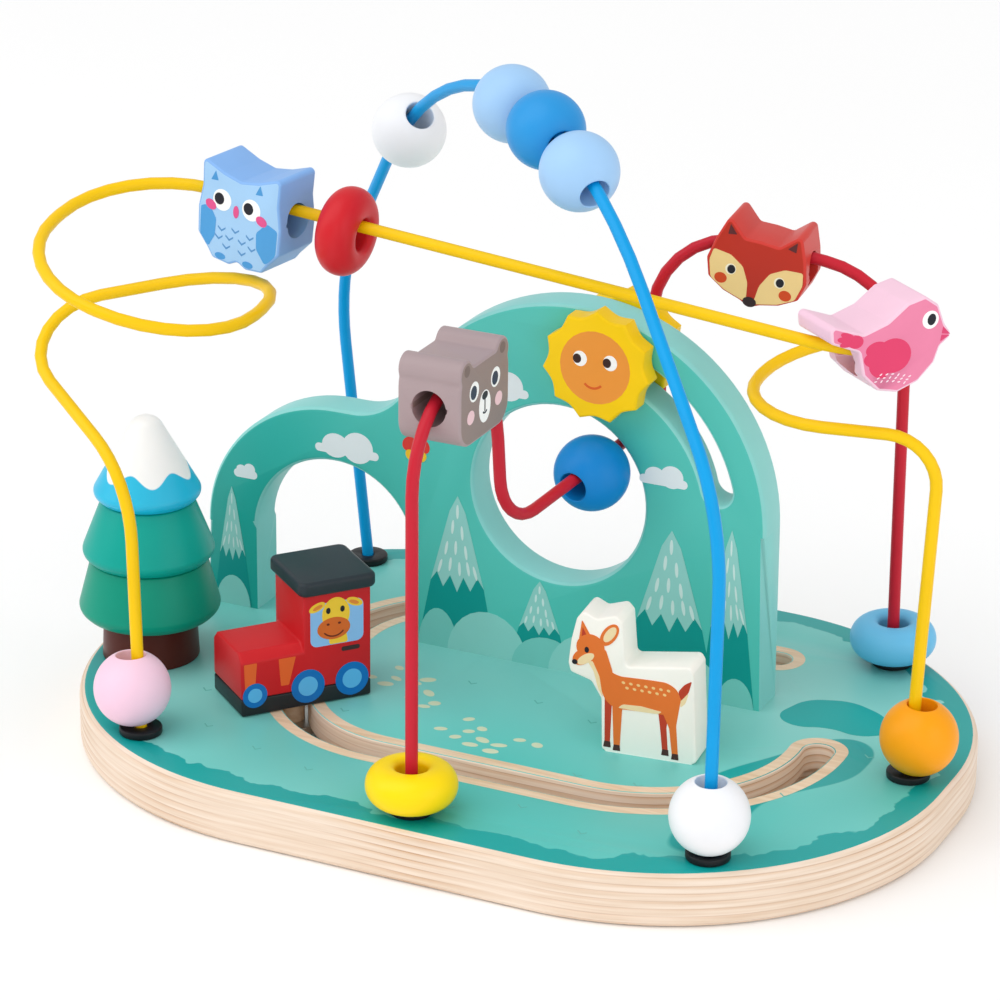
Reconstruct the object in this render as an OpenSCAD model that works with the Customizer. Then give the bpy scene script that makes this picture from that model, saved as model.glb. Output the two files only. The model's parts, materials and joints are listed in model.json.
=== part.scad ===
// Bead maze: three bent wires with beads, an arch wall with a sliding sun,
// a tree, a deer and a train that runs in a curved track, all on one board.
// Lengths are millimetres. The origin is the centre of the board's underside,
// +X runs along the board, -Y faces the player and +Z is up.

/* [Board] */
// Length of the board
base_l = 298; // [290:1:320]
// Width of the board
base_w = 212; // [206:1:230]
// Thickness of the board
base_t = 18; // [16:0.5:24]
// Radius of the board's corners in plan
base_corner_r = 98; // [80:1:102]

/* [Track] */
// Width of the slot that the train's peg runs in
slot_w = 10; // [9:0.5:12]
// Width of the channel under the slot
channel_w = 20; // [19:0.5:24]
// Height of the channel above the underside
channel_h = 9; // [8:0.5:10]
// Distance of the rear straight behind the centre
track_rear_y = 66; // [60:1:70]
// Distance of the front straight ahead of the centre
track_front_y = 57; // [50:1:62]
// Distance of the left straight from the centre
track_left_x = 76; // [70:1:80]
// Right end of the rear straight
track_rear_end_x = 63; // [40:1:70]
// Start of the right bend on the front straight
track_front_bend_x = 45; // [38:1:48]
// Radius of the rear left bend
rear_bend_r = 44; // [36:1:48]
// Radius of the front left bend, where the train stands
train_bend_r = 50; // [40:1:54]
// Radius of the front right bend
front_bend_r = 57; // [50:1:60]
// Angle that the right bend turns through
front_bend_turn = 95; // [60:1:95]

/* [Wires] */
// Diameter of the wires
wire_d = 4; // [3.5:0.1:4.5]
// Half the distance between the corner feet along the board
foot_x = 99; // [94:1:102]
// Half the distance between the corner feet across the board
foot_y = 80; // [76:1:82]
// Diameter of the collar's flange on the board
collar_d = 14; // [12:0.5:16]
// Height of the collar's flange
collar_h = 2.5; // [2:0.1:3]
// Diameter of the collar's stem in the board
stem_d = 8; // [7:0.5:9]
// Length of the collar's stem in the board
stem_l = 12; // [10:0.5:14]

/* [Yellow wire] */
// Height of the highest bend of the yellow wire
yellow_top = 184; // [176:1:192]
// Distance of the left loop's middle from the centre
left_loop_x = 106.5; // [104:0.5:108]
// Distance of the left loop's middle ahead of the centre
left_loop_y = 48.5; // [47:0.5:50]
// Width of the left loop, corner to corner
left_loop_w = 73; // [72.5:0.5:77]
// Bend radius of the left loop
left_loop_r = 35.5; // [32:0.5:35.5]
// Distance of the first sweep's corner left of the centre
sweep_x = 173.5; // [168:0.5:178]
// Distance of the first sweep's corner ahead of the centre
sweep_y = 40; // [36:1:44]
// Bend radius of the first sweep
sweep_r = 22; // [18:1:26]
// Distance of the lower ring's rear corner left of the centre
ring_x = 79.5; // [77:0.5:82]
// Distance of the lower ring's rear corner behind the centre
ring_y = 14; // [10:1:16]
// Bend radius above the left foot
left_leg_r = 35; // [25:1:40]
// Distance of the right loop's middle from the centre
right_loop_x = 98; // [95:1:100]
// Width of the right loop along the board
right_loop_w = 54; // [53.5:0.5:60]
// Depth of the right loop across the board
right_loop_depth = 62; // [61:0.5:68]
// Bend radius of the right loop
right_loop_r = 27; // [23:0.5:27]
// Distance of the right foot from the centre
right_foot_x = 134; // [132:1:136]
// Bend radius above the right foot
right_leg_r = 16; // [12:1:20]

/* [Red wire] */
// Distance of the front foot ahead of the centre
red_foot_y = 92; // [88:1:94]
// Place of the front foot along the board
red_foot_x = 4.6; // [2:0.2:6]
// Height of the front arch
hump_top = 150.8; // [146:0.2:156]
// Radius of the front arch
hump_r = 28; // [26:0.5:29]
// Place of the dip between the arches along the board
dip_x = 8.3; // [7:0.1:10]
// Height of the corner at the dip
dip_z = 91; // [88:1:94]
// Bend radius of the dip
dip_r = 16; // [12:1:18]
// Place of the corner behind the wall along the board
behind_x = 23; // [21:0.5:24]
// Distance of the corner behind the wall from the centre
behind_y = 58; // [56:0.5:62]
// Height of the corner behind the wall
behind_z = 103; // [100:0.5:103.5]
// Bend radius behind the wall
behind_r = 14; // [10:1:16]
// Place of the rear arch's left corner along the board
rear_arch_x = 12; // [9:1:14]
// Height of the rear arch's left corner
rear_arch_z = 170; // [166:1:174]
// Height of the rear arch's right corner
rear_arch_end_z = 154; // [150:1:158]
// Bend radius of the rear arch's left corner
rear_arch_r = 27; // [22:1:30]
// Bend radius of the rear arch's right corner
rear_arch_end_r = 33; // [26:1:34]

/* [Blue wire] */
// Height of the corner where the blue wire leaves its front leg
blue_leg_z = 130; // [124:1:136]
// Bend radius above the front leg
blue_leg_r = 60; // [50:1:66]
// Height of the corner over the great arch
blue_peak_z = 282; // [278:1:286]
// Radius of the great arch
blue_peak_r = 125; // [116:1:128]
// Height of the corner where the arch comes down
blue_rear_z = 118; // [114:1:124]
// Bend radius where the arch comes down
blue_rear_r = 50; // [44:1:56]

/* [Beads] */
// Diameter of the round beads
bead_d = 25; // [23:0.5:26]
// Diameter of the hole in a round bead
bead_hole_d = 9.5; // [8.5:0.5:10]
// Diameter of the flat beads
disc_d = 29; // [27:0.5:31]
// Thickness of the flat beads
disc_t = 13; // [11:0.5:14]
// Diameter of the hole in a flat bead
disc_hole_d = 10; // [9:0.5:11]
// Place of the flat bead on the long yellow straight
disc_red_x = -58.5; // [-60:0.5:-30]
// Place of the bead between the red arches, from the board's middle
royal_y = 14.5; // [0:0.5:15]
// Angle along the great arch to the middle bead of the row
blue_row_turn = 34.8; // [32:0.2:36]
// Angle along the great arch to the rear bead
blue_rear_turn = 86.1; // [80:0.1:90]

/* [Animal blocks] */
// Diameter of the hole through an animal block
block_hole_d = 11.5; // [11:0.1:12]
// Width of the owl
owl_w = 33; // [30:0.5:33.5]
// Height of the owl
owl_h = 34; // [32:0.5:35]
// Thickness of the owl
owl_t = 19; // [17:0.5:21]
// Place of the owl on the long yellow straight
owl_x = -91; // [-91.5:0.5:-88]
// Turn of the owl on its wire
owl_yaw = -8; // [-9:0.5:0]
// Width of the bear
bear_w = 34; // [31:0.5:35]
// Height of the bear
bear_h = 28; // [26:0.5:30]
// Thickness of the bear
bear_t = 21; // [18:0.5:23]
// Width of the fox
fox_w = 34; // [32:0.5:35]
// Height of the fox
fox_h = 29; // [28:0.5:31]
// Thickness of the fox
fox_t = 20; // [18:0.5:22]
// Turn of the fox
fox_yaw = 7; // [6:0.5:14]
// Distance of the fox along the rear arch from its left corner
fox_along = 43.5; // [42:0.5:52]
// Length of the bird from tail to beak
bird_l = 45; // [42:0.5:46]
// Height of the bird
bird_h = 31; // [30:0.5:33]
// Thickness of the bird
bird_t = 20; // [18:0.5:22]
// Angle along the right loop's first bend to the bird
bird_turn = 52; // [45:1:60]

/* [Arch wall] */
// Thickness of the wall
wall_t = 14; // [12:0.5:16]
// Distance of the wall's front face behind the centre
wall_y = 24; // [23:0.5:25]
// Radius of the big arch
hill_r = 68.5; // [66:0.5:70]
// Place of the big arch's middle along the board
hill_x = 5; // [3:0.5:7]
// Height of the big arch's middle
hill_z = 79; // [76:0.5:82]
// Radius of the small arch
lobe_r = 49; // [46:0.5:50]
// Distance of the small arch's middle left of the centre
lobe_x = 83; // [81:0.5:84]
// Height of the small arch's middle
lobe_z = 48; // [46:0.5:50]
// Radius of the tunnel through the small arch
tunnel_r = 30; // [28:0.5:32]
// Radius of the round window
window_r = 31; // [29:0.5:32]
// Place of the round window along the board
window_x = 0; // [-2:0.5:1]
// Height of the round window's middle
window_z = 81; // [80:0.5:83]
// Radius of the hollow between the two arches
hollow_r = 22; // [16:0.5:26]

/* [Sun] */
// Radius of the sun's points
sun_r = 18; // [16:0.5:18.5]
// Thickness of each sun
sun_t = 8; // [7:0.5:8.5]
// Number of the sun's points
sun_points = 11; // [9:1:12]
// Radius of the slot's middle line about the big arch's middle
sun_slot_r = 53; // [51.5:0.5:53.5]
// Width of the sun's slot
sun_slot_w = 10; // [9.5:0.5:11]
// Angle of the slot's lower end above the horizontal
sun_slot_low = 14.5; // [12:0.5:20]
// Angle of the slot's upper end above the horizontal
sun_slot_high = 88; // [86:0.5:92]
// Angle of the sun above the horizontal
sun_rest = 78; // [70:0.5:80]
// Diameter of the sun's pin
sun_pin_d = 9; // [8:0.1:9]

/* [Tree] */
// Distance of the tree left of the centre
tree_x = 127.5; // [126:0.5:129]
// Distance of the tree ahead of the centre
tree_y = 24; // [20:0.5:25]
// Radius of the trunk
trunk_r = 16.3; // [14:0.1:17]
// Height of the trunk
trunk_h = 15; // [13:0.5:18]
// Radius of the lower tier
lower_tier_r = 24; // [22:0.5:24]
// Height of the lower tier
lower_tier_h = 20; // [17:0.5:22]
// Radius of the middle tier
middle_tier_r = 22.5; // [20:0.5:23]
// Height of the middle tier
middle_tier_h = 21; // [18:0.5:23]
// Radius of the top tier
top_tier_r = 18.5; // [17:0.5:20]
// Height of the top tier
top_tier_h = 30; // [26:0.5:32]
// Radius of the rounded tip
tip_r = 5; // [4:0.5:7]
// Diameter of the dowel through the tree
dowel_d = 8; // [7:0.5:9]

/* [Train] */
// Length of the train
train_l = 45.6; // [42:0.2:46]
// Width of the train
train_w = 25; // [22:0.5:26]
// Length of the cab
cab_l = 23.6; // [20:0.2:26]
// Height of the chassis
chassis_h = 5.8; // [4:0.1:6.5]
// Height of the bonnet over the chassis
bonnet_h = 16; // [13:0.5:18]
// Chamfer along the bonnet's top edges
bonnet_chamfer = 3; // [2:0.5:5]
// Height of the cab over the chassis
cab_h = 33; // [30:0.5:36]
// Thickness of the roof
roof_t = 5; // [4:0.5:6]
// Overhang of the roof
roof_lip = 1.8; // [1.2:0.1:2.5]
// Diameter of the train's peg
peg_d = 8; // [7:0.1:8.5]
// Angle of the train round the middle of its bend
train_turn = 208.5; // [206:0.5:212]
// Turn of the train's long side from the board's long side
train_yaw = 50.5; // [0:0.5:90]
// Diameter of the washer under the slot
washer_d = 18; // [16:0.5:18.5]
// Thickness of the washer
washer_t = 3; // [2:0.1:3.2]

/* [Deer] */
// Length of the deer from nose to rump
deer_l = 43.4; // [40:0.2:46]
// Height of the deer
deer_h = 47.5; // [44:0.5:52]
// Thickness of the deer
deer_t = 13.8; // [12:0.2:16]
// Place of the deer's middle along the board
deer_x = 49; // [47:0.5:51]
// Distance of the deer's middle ahead of the centre
deer_y = 18; // [17:0.5:24]
// Turn of the deer
deer_yaw = 6; // [0:0.5:10]

/* [Fixings] */
// Diameter of the wood screws
screw_d = 4; // [3.5:0.1:4.5]
// Diameter of the screw heads
screw_head_d = 8; // [7:0.5:9]
// Length of a screw in the wood above the board
screw_bite = 14; // [11:0.5:16]
// Radial clearance of pressed and glued fits
press_gap = 0.05; // [0.03:0.01:0.08]
// Radial clearance of the train on its peg
run_gap = 0.1; // [0.06:0.01:0.1]
// Gap between a loose piece and its seat
seat_gap = 0.3; // [0.2:0.05:0.4]

/* [Hidden] */
$fn = 64;

// Overrun of every cut past the face that it opens
over = 1;
// Facets of a small rounding and sides of a wire
round_fn = 24;
wire_sides = 12;
// Fewest steps along a wire's bend, and the longest step
bend_steps_min = 8;
bend_step = 13;
// Straight stretch at the crown of the front arch, between its two bends
hump_flat = 0.3;
// Lean of the yellow wire's legs away from their feet
yellow_lean = 5;
// Distance of the rear arch's end ahead of its foot
rear_arch_lean = 3;
// Rounding of the animal blocks' outlines and of their hollow corners
block_round = 1.6;
// Rounding of the deer's outline
deer_round = 1.6;
// Radius and rise of the bear's ears, and radius of its rounded head
bear_ear_r = 4.6;
bear_ear_rise = 3;
bear_head_r = 7;
// Height of the animal blocks' holes above their middles
owl_hole_up = 1;
bear_hole_up = -1.5;
fox_hole_up = 1;
bird_hole_up = -7.5;
// Rim of a tree tier, flare of the trunk and glue length of the dowel at its ends
tier_rim = 3;
trunk_taper = 0.7;
dowel_bite = 10;
// Depth of the sun's pin in each sun
sun_pin_bite = 5;
// Height of the screw heads, and of the peg screw's head
screw_head_h = 2.4;
peg_head_h = 2.4;
peg_head_d = 13;
peg_screw_bite = 10;
// Rounding of the train roof's corners
roof_round = 3;

// Shares of the yellow wire's top height at its corners, from the left foot on
yellow_height_shares = [0.56, 0.74, 0.845, 0.83, 0.925, 1, 0.87, 0.815, 0.75, 0.723, 0.723];
// Places of the blue wire's corners as shares of its span between the feet
blue_span_shares = [-0.008, 0.589, 1.098];
// Half outlines of the owl and the fox, as shares of their widths and heights
owl_half_shares = [
    [0, 0.36], [0.2, 0.4], [0.47, 0.5], [0.46, 0.22], [0.5, 0], [0.49, -0.26],
    [0.36, -0.4], [0.3, -0.48], [0.1, -0.5], [0, -0.45]
];
fox_half_shares = [
    [0, 0.3], [0.17, 0.29], [0.36, 0.5], [0.45, 0.2], [0.5, -0.05], [0.45, -0.26],
    [0.28, -0.38], [0.1, -0.44], [0, -0.5]
];
// Outline of the bird, as shares of its length and height from its body's middle
bird_shares = [
    [-0.58, 0.16], [-0.3, 0.09], [-0.13, 0.22], [0, 0.42], [0.13, 0.5], [0.25, 0.42],
    [0.33, 0.23], [0.41, 0.12], [0.33, 0], [0.31, -0.17], [0.21, -0.37], [0.06, -0.49],
    [-0.1, -0.48], [-0.24, -0.34], [-0.31, -0.1], [-0.54, -0.03]
];
// Outline of the deer, as shares of its length from the middle and of its height
deer_shares = [
    [-0.51, 0.61], [-0.49, 0.545], [-0.33, 0.5], [-0.25, 0.38], [-0.24, 0], [0.49, 0],
    [0.45, 0.66], [0.42, 0.705], [-0.07, 0.64], [-0.1, 0.95], [-0.15, 1], [-0.3, 0.955],
    [-0.4, 1], [-0.45, 0.94], [-0.49, 0.78]
];

// Directions, bends and points along a bent wire: p holds its corners and r its bend radii
function unit(v) = v / norm(v);
function heading(p, i) = unit(p[i + 1] - p[i]);
function turn(p, i) = acos(heading(p, i - 1) * heading(p, i));
function bend_start(p, r, i) = p[i] - heading(p, i - 1) * r[i] * tan(turn(p, i) / 2);
function bend_middle(p, r, i) =
    p[i] + unit(heading(p, i) - heading(p, i - 1)) * r[i] / cos(turn(p, i) / 2);
function bend_radius_way(p, r, i) = unit(bend_start(p, r, i) - bend_middle(p, r, i));
function bend_point(p, r, i, a) = bend_middle(p, r, i)
    + r[i] * (bend_radius_way(p, r, i) * cos(a) + heading(p, i - 1) * sin(a));
function bend_heading(p, r, i, a) = heading(p, i - 1) * cos(a) - bend_radius_way(p, r, i) * sin(a);
function bend_steps(p, r, i) = max(bend_steps_min, ceil(turn(p, i) * PI / 180 * r[i] / bend_step));
function bend_turns(p, r, i) =
    [for (k = [0:bend_steps(p, r, i)]) turn(p, i) * k / bend_steps(p, r, i)];
function last(p) = len(p) - 1;
function wire_places(p, r) = concat(
    [p[0] - [0, 0, collar_h + stem_l], p[0]],
    [for (i = [1:last(p) - 1]) for (a = bend_turns(p, r, i)) bend_point(p, r, i, a)],
    [p[last(p)], p[last(p)] - [0, 0, collar_h + stem_l]]
);
function wire_headings(p, r) = concat(
    [[0, 0, 1], heading(p, 0)],
    [for (i = [1:last(p) - 1]) for (a = bend_turns(p, r, i)) bend_heading(p, r, i, a)],
    [heading(p, last(p) - 1), [0, 0, -1]]
);
// A side direction carried along the wire without twisting, starting along X
function square_to(n, t) = unit(n - (n * t) * t);
function wire_sideways(t) = [
    for (k = 0, n = [1, 0, 0]; k < len(t); k = k + 1, n = k < len(t) ? square_to(n, t[k]) : n) n
];

// Where a bead hangs: straight below its wire, as far as its hole lets it
function down(t) = unit([0, 0, -1] + t * t.z);
function hang(hole_d) = (hole_d - wire_d) / 2 - seat_gap;
// A block whose hole stands askew to its wire, by a side shift at its faces, hangs less
function askew_hang(shift) = sqrt(hang(block_hole_d) ^ 2 - shift ^ 2);
// Half the length of a round bead at its hole's rim
bead_half = sqrt(bead_d ^ 2 - bead_hole_d ^ 2) / 2;

// Feet and collars
collar_top = base_t + collar_h;
left_foot = [-foot_x, -foot_y, collar_top];
right_foot = [right_foot_x, 0, collar_top];
red_foot = [red_foot_x, -red_foot_y, collar_top];
red_rear_foot = [foot_x, foot_y, collar_top];
blue_foot = [foot_x, -foot_y, collar_top];
blue_rear_foot = [-foot_x, foot_y, collar_top];
feet = [left_foot, right_foot, red_foot, red_rear_foot, blue_foot, blue_rear_foot];

// Corners and bend radii of the yellow wire
yellow_y = left_loop_w / 2 - left_loop_y;
yellow_z = yellow_height_shares * yellow_top;
right_loop_left = right_loop_x - right_loop_w / 2;
right_loop_right = right_loop_x + right_loop_w / 2;
yellow_corners = [
    left_foot,
    [-foot_x - yellow_lean, yellow_lean - foot_y, yellow_z[0]],
    [-sweep_x, -sweep_y, yellow_z[1]],
    [-ring_x, ring_y, yellow_z[2]],
    [left_loop_w / 2 - left_loop_x, -left_loop_y - left_loop_w / 2, yellow_z[3]],
    [-left_loop_x - left_loop_w / 2, -left_loop_y - left_loop_w / 2, yellow_z[4]],
    [-left_loop_x - left_loop_w / 2, yellow_y, yellow_z[5]],
    [right_loop_right, yellow_y, yellow_z[6]],
    [right_loop_right, yellow_y + right_loop_depth, yellow_z[7]],
    [right_loop_left, yellow_y + right_loop_depth, yellow_z[8]],
    [right_loop_left, yellow_y, yellow_z[9]],
    [right_foot_x + yellow_lean, 0, yellow_z[10]],
    right_foot
];
yellow_bends = [
    0, left_leg_r, sweep_r, left_loop_r, left_loop_r, left_loop_r, left_loop_r,
    right_loop_r, right_loop_r, right_loop_r, right_loop_r, right_leg_r, 0
];

// Corners and bend radii of the red wire
hump_end_y = 2 * hump_r + hump_flat - red_foot_y;
red_corners = [
    red_foot,
    [red_foot_x, -red_foot_y, hump_top],
    [red_foot_x, hump_end_y, hump_top],
    [dip_x, hump_end_y, dip_z],
    [behind_x, behind_y, behind_z],
    [rear_arch_x, behind_y, rear_arch_z],
    [foot_x, foot_y - rear_arch_lean, rear_arch_end_z],
    red_rear_foot
];
red_bends = [0, hump_r, hump_r, dip_r, behind_r, rear_arch_r, rear_arch_end_r, 0];

// Corners and bend radii of the blue wire, which stands in one upright plane
blue_run = blue_rear_foot - blue_foot;
function blue_corner(share, z) = [blue_foot.x, blue_foot.y, z] + share * blue_run;
blue_corners = [
    blue_foot,
    blue_corner(blue_span_shares[0], blue_leg_z),
    blue_corner(blue_span_shares[1], blue_peak_z),
    blue_corner(blue_span_shares[2], blue_rear_z),
    blue_rear_foot
];
blue_bends = [0, blue_leg_r, blue_peak_r, blue_rear_r, 0];

// Rest places of the beads: each place is [middle, direction of the wire]
function on_foot(foot, way, half, rim_r, side = [0, 0, 0]) =
    [foot + way * (half + (seat_gap + rim_r * sqrt(1 - way.z ^ 2)) / way.z) + side, way];
function on_leg(p, i, along, hole_d) =
    [p[i] + heading(p, i) * along + down(heading(p, i)) * hang(hole_d), heading(p, i)];
function on_bend(p, r, i, a, hole_d) =
    [bend_point(p, r, i, a) + down(bend_heading(p, r, i, a)) * hang(hole_d), bend_heading(p, r, i, a)];
// Angle between neighbouring beads of the row, whose inner rims lie a seat gap apart
row_step = 2 * atan((bead_half + seat_gap / 2) / (blue_peak_r - hang(bead_hole_d) - bead_hole_d / 2));
straight_way = heading(yellow_corners, 6);
lean_out = [hang(bead_hole_d), 0, 0];
bead_rim_r = bead_hole_d / 2;
disc_rim_r = (disc_d - disc_t) / 2;
pink_place = on_foot(left_foot, heading(yellow_corners, 0), bead_half, bead_rim_r, -lean_out);
orange_place = on_foot(right_foot, -heading(yellow_corners, 11), bead_half, bead_rim_r, lean_out);
white_front_place = on_foot(blue_foot, heading(blue_corners, 0), bead_half, bead_rim_r);
disc_yellow_place = on_foot(red_foot, heading(red_corners, 0), disc_t / 2, disc_rim_r);
disc_sky_place = on_foot(red_rear_foot, -heading(red_corners, 6), disc_t / 2, disc_rim_r);
disc_red_along = (disc_red_x - yellow_corners[6].x) / straight_way.x;
disc_red_place = on_leg(yellow_corners, 6, disc_red_along, disc_hole_d);
royal_along = (royal_y - red_corners[3].y) / heading(red_corners, 3).y;
royal_place = on_leg(red_corners, 3, royal_along, bead_hole_d);
sky_front_place = on_bend(blue_corners, blue_bends, 2, blue_row_turn - row_step, bead_hole_d);
blue_mid_place = on_bend(blue_corners, blue_bends, 2, blue_row_turn, bead_hole_d);
sky_rear_place = on_bend(blue_corners, blue_bends, 2, blue_row_turn + row_step, bead_hole_d);
white_rear_place = on_bend(blue_corners, blue_bends, 2, blue_rear_turn, bead_hole_d);

// Rest places of the animal blocks' holes, with the pitch that their wires give them
function pitch(t) = -asin(t.z);
owl_shift = owl_w / 2 * tan(owl_yaw);
owl_along = (owl_x - yellow_corners[6].x) / straight_way.x;
owl_place = yellow_corners[6] + straight_way * owl_along + down(straight_way) * askew_hang(owl_shift);
fox_way = heading(red_corners, 5);
fox_shift = fox_w / 2 * tan(atan2(fox_way.y, fox_way.x) - fox_yaw);
fox_place = red_corners[5] + fox_way * fox_along + down(fox_way) * askew_hang(fox_shift);
hump_middle = [red_foot_x, hump_r + hump_flat / 2 - red_foot_y, hump_top - hump_r];
bear_place = hump_middle + [0, 0, hump_r - hang(block_hole_d)];
bird_way = bend_heading(yellow_corners, yellow_bends, 7, bird_turn);
bird_yaw = atan2(bird_way.y, bird_way.x);
bird_bow = right_loop_r - sqrt(right_loop_r ^ 2 - (bird_l / 3) ^ 2);
bird_inward = unit(bend_middle(yellow_corners, yellow_bends, 7)
    - bend_point(yellow_corners, yellow_bends, 7, bird_turn));
bird_place = bend_point(yellow_corners, yellow_bends, 7, bird_turn) + bird_inward * bird_bow / 2
    + down(bird_way) * askew_hang(bird_bow / 2);

// Wall, tunnel and sun
bridge_z = lobe_z + lobe_r;
hollow_z = bridge_z + hollow_r;
hollow_x = hill_x - sqrt((hill_r + hollow_r) ^ 2 - (hollow_z - hill_z) ^ 2);
wall_rear_y = wall_y + wall_t;
wall_mid_y = wall_y + wall_t / 2;
sun_front_y = wall_y - seat_gap - sun_t;
sun_place = [hill_x + sun_slot_r * cos(sun_rest), sun_front_y, hill_z + sun_slot_r * sin(sun_rest)];
sun_pin_l = wall_t + 2 * seat_gap + 2 * sun_pin_bite;

// Tree, from the board up
tree_place = [-tree_x, -tree_y, base_t];
lower_tier_z = trunk_h;
middle_tier_z = lower_tier_z + lower_tier_h;
top_tier_z = middle_tier_z + middle_tier_h;
dowel_l = dowel_bite + top_tier_z + dowel_bite;
dowel_hole_d = dowel_d + 2 * press_gap;

// Train and its runner under the slot
train_bend_x = train_bend_r - track_left_x;
train_bend_y = train_bend_r - track_front_y;
peg_place = [
    train_bend_x + train_bend_r * cos(train_turn), train_bend_y + train_bend_r * sin(train_turn), 0
];
train_z = base_t + seat_gap;
body_z = train_z + chassis_h;
roof_z = body_z + cab_h;
washer_z = channel_h - seat_gap - washer_t;
peg_z = washer_z - seat_gap;
peg_top_z = body_z + bonnet_h / 2;
bonnet_l = train_l - cab_l;

// Screws from below: three into the wall and one into the deer
hill_right = hill_x + hill_r;
wall_left = -lobe_x - lobe_r;
screw_places = [
    [(wall_left - lobe_x - tunnel_r) / 2, wall_mid_y],
    [(window_x - lobe_x + tunnel_r) / 2, wall_mid_y],
    [(hill_right + window_x + window_r) / 2, wall_mid_y],
    [deer_x + deer_l / 8, -deer_y]
];
pilot_d = screw_d + 2 * press_gap;

// A round stretch of the track, from angle a0 through angle a
module track_bend(x, y, r, a0, a, w, h)
    translate([x, y]) rotate(a0) rotate_extrude(angle = a) translate([r - w / 2, 0]) square([w, h]);

// The track's whole path, w wide, from height z up by h
module track_cut(w, z, h) {
    rear_bend_x = rear_bend_r - track_left_x;
    rear_bend_y = track_rear_y - rear_bend_r;
    front_bend_y = front_bend_r - track_front_y;
    end_turn = front_bend_turn - 90;
    translate([0, 0, z]) {
        translate([rear_bend_x, track_rear_y - w / 2]) cube([track_rear_end_x - rear_bend_x, w, h]);
        translate([track_rear_end_x, track_rear_y]) cylinder(d = w, h = h);
        track_bend(rear_bend_x, rear_bend_y, rear_bend_r, 90, 90, w, h);
        translate([-track_left_x - w / 2, train_bend_y]) cube([w, rear_bend_y - train_bend_y, h]);
        track_bend(train_bend_x, train_bend_y, train_bend_r, 180, 90, w, h);
        translate([train_bend_x, -track_front_y - w / 2]) cube([track_front_bend_x - train_bend_x, w, h]);
        track_bend(track_front_bend_x, front_bend_y, front_bend_r, 270, front_bend_turn, w, h);
        translate([
            track_front_bend_x + front_bend_r * cos(end_turn), front_bend_y + front_bend_r * sin(end_turn)
        ]) cylinder(d = w, h = h);
    }
}

// A countersunk wood screw from the underside up, grown by g for its hole
module wood_screw(g) {
    cylinder(d1 = screw_head_d + 2 * g, d2 = screw_d + 2 * g, h = screw_head_h);
    cylinder(d = screw_d + 2 * g, h = base_t + screw_bite + g);
}

module base_board() color("burlywood") difference() {
    linear_extrude(base_t) {
        square([base_l - 2 * base_corner_r, base_w], center = true);
        square([base_l, base_w - 2 * base_corner_r], center = true);
        for (x = [-1, 1]) for (y = [-1, 1])
            translate([x * (base_l / 2 - base_corner_r), y * (base_w / 2 - base_corner_r)])
                circle(base_corner_r);
    }
    track_cut(slot_w, -over, base_t + 2 * over);
    track_cut(channel_w, -over, channel_h + over);
    for (f = feet) translate([f.x, f.y, base_t - stem_l])
        cylinder(d = stem_d + 2 * press_gap, h = stem_l + over);
    for (s = screw_places) translate(s) wood_screw(press_gap);
    translate(tree_place - [0, 0, dowel_bite]) cylinder(d = dowel_hole_d, h = dowel_bite + over);
}

module foot_collars() color("#202225") for (f = feet) translate(f) difference() {
    union() {
        translate([0, 0, -collar_h]) cylinder(d = collar_d, h = collar_h);
        translate([0, 0, -collar_h - stem_l]) cylinder(d = stem_d, h = collar_h + stem_l);
    }
    translate([0, 0, -collar_h - stem_l - over])
        cylinder(d = wire_d + 2 * press_gap, h = collar_h + stem_l + 2 * over);
}

// Outline of the wall seen from the front: x along the board, y up
module wall_outline() difference() {
    union() {
        translate([hill_x, hill_z]) circle(hill_r);
        translate([hill_x, base_t]) square([hill_r, hill_z - base_t]);
        translate([-lobe_x, base_t]) square([lobe_x + hill_x, bridge_z - base_t]);
        translate([-lobe_x, lobe_z]) circle(lobe_r);
        translate([wall_left, base_t]) square([lobe_r, lobe_z - base_t]);
        difference() {
            translate([hollow_x, bridge_z - over]) square([hill_x - hollow_x, hollow_r + over]);
            translate([hollow_x, hollow_z]) circle(hollow_r);
        }
    }
    translate([wall_left - over, base_t - hill_r]) square([hill_right - wall_left + 2 * over, hill_r]);
    translate([-lobe_x, lobe_z]) circle(tunnel_r);
    translate([-lobe_x - tunnel_r, base_t - over]) square([2 * tunnel_r, lobe_z - base_t + over]);
    translate([window_x, window_z]) circle(window_r);
}

module arch_wall() color("#5fc0b9") difference() {
    translate([0, wall_rear_y]) rotate([90, 0, 0]) linear_extrude(wall_t) wall_outline();
    translate([hill_x, wall_rear_y + over, hill_z]) rotate([90, 0, 0]) {
        slot_turn = sun_slot_high - sun_slot_low;
        slot_h = wall_t + 2 * over;
        track_bend(0, 0, sun_slot_r, sun_slot_low, slot_turn, sun_slot_w, slot_h);
        for (a = [sun_slot_low, sun_slot_high])
            translate([sun_slot_r * cos(a), sun_slot_r * sin(a)]) cylinder(d = sun_slot_w, h = slot_h);
    }
    for (s = screw_places) translate(s) wood_screw(press_gap);
}

module fixing_screws() color("silver") for (s = screw_places) translate(s) wood_screw(0);

// A round wire swept along its corners and bends
module wire(p, r) {
    places = wire_places(p, r);
    ways = wire_headings(p, r);
    sides = wire_sideways(ways);
    n = wire_sides;
    rings = len(places);
    points = [
        for (k = [0:rings - 1]) for (j = [0:n - 1])
            let (a = 360 * j / n)
                places[k] + wire_d / 2 * (cos(a) * sides[k] + sin(a) * cross(ways[k], sides[k]))
    ];
    skin = [
        for (k = [0:rings - 2]) for (j = [0:n - 1]) let (a = k * n + j, b = k * n + (j + 1) % n)
            each [[a, a + n, b], [b, a + n, b + n]]
    ];
    ends = [
        for (j = [1:n - 2]) let (a = (rings - 1) * n) each [[0, j, j + 1], [a, a + j + 1, a + j]]
    ];
    polyhedron(points, concat(skin, ends));
}

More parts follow.
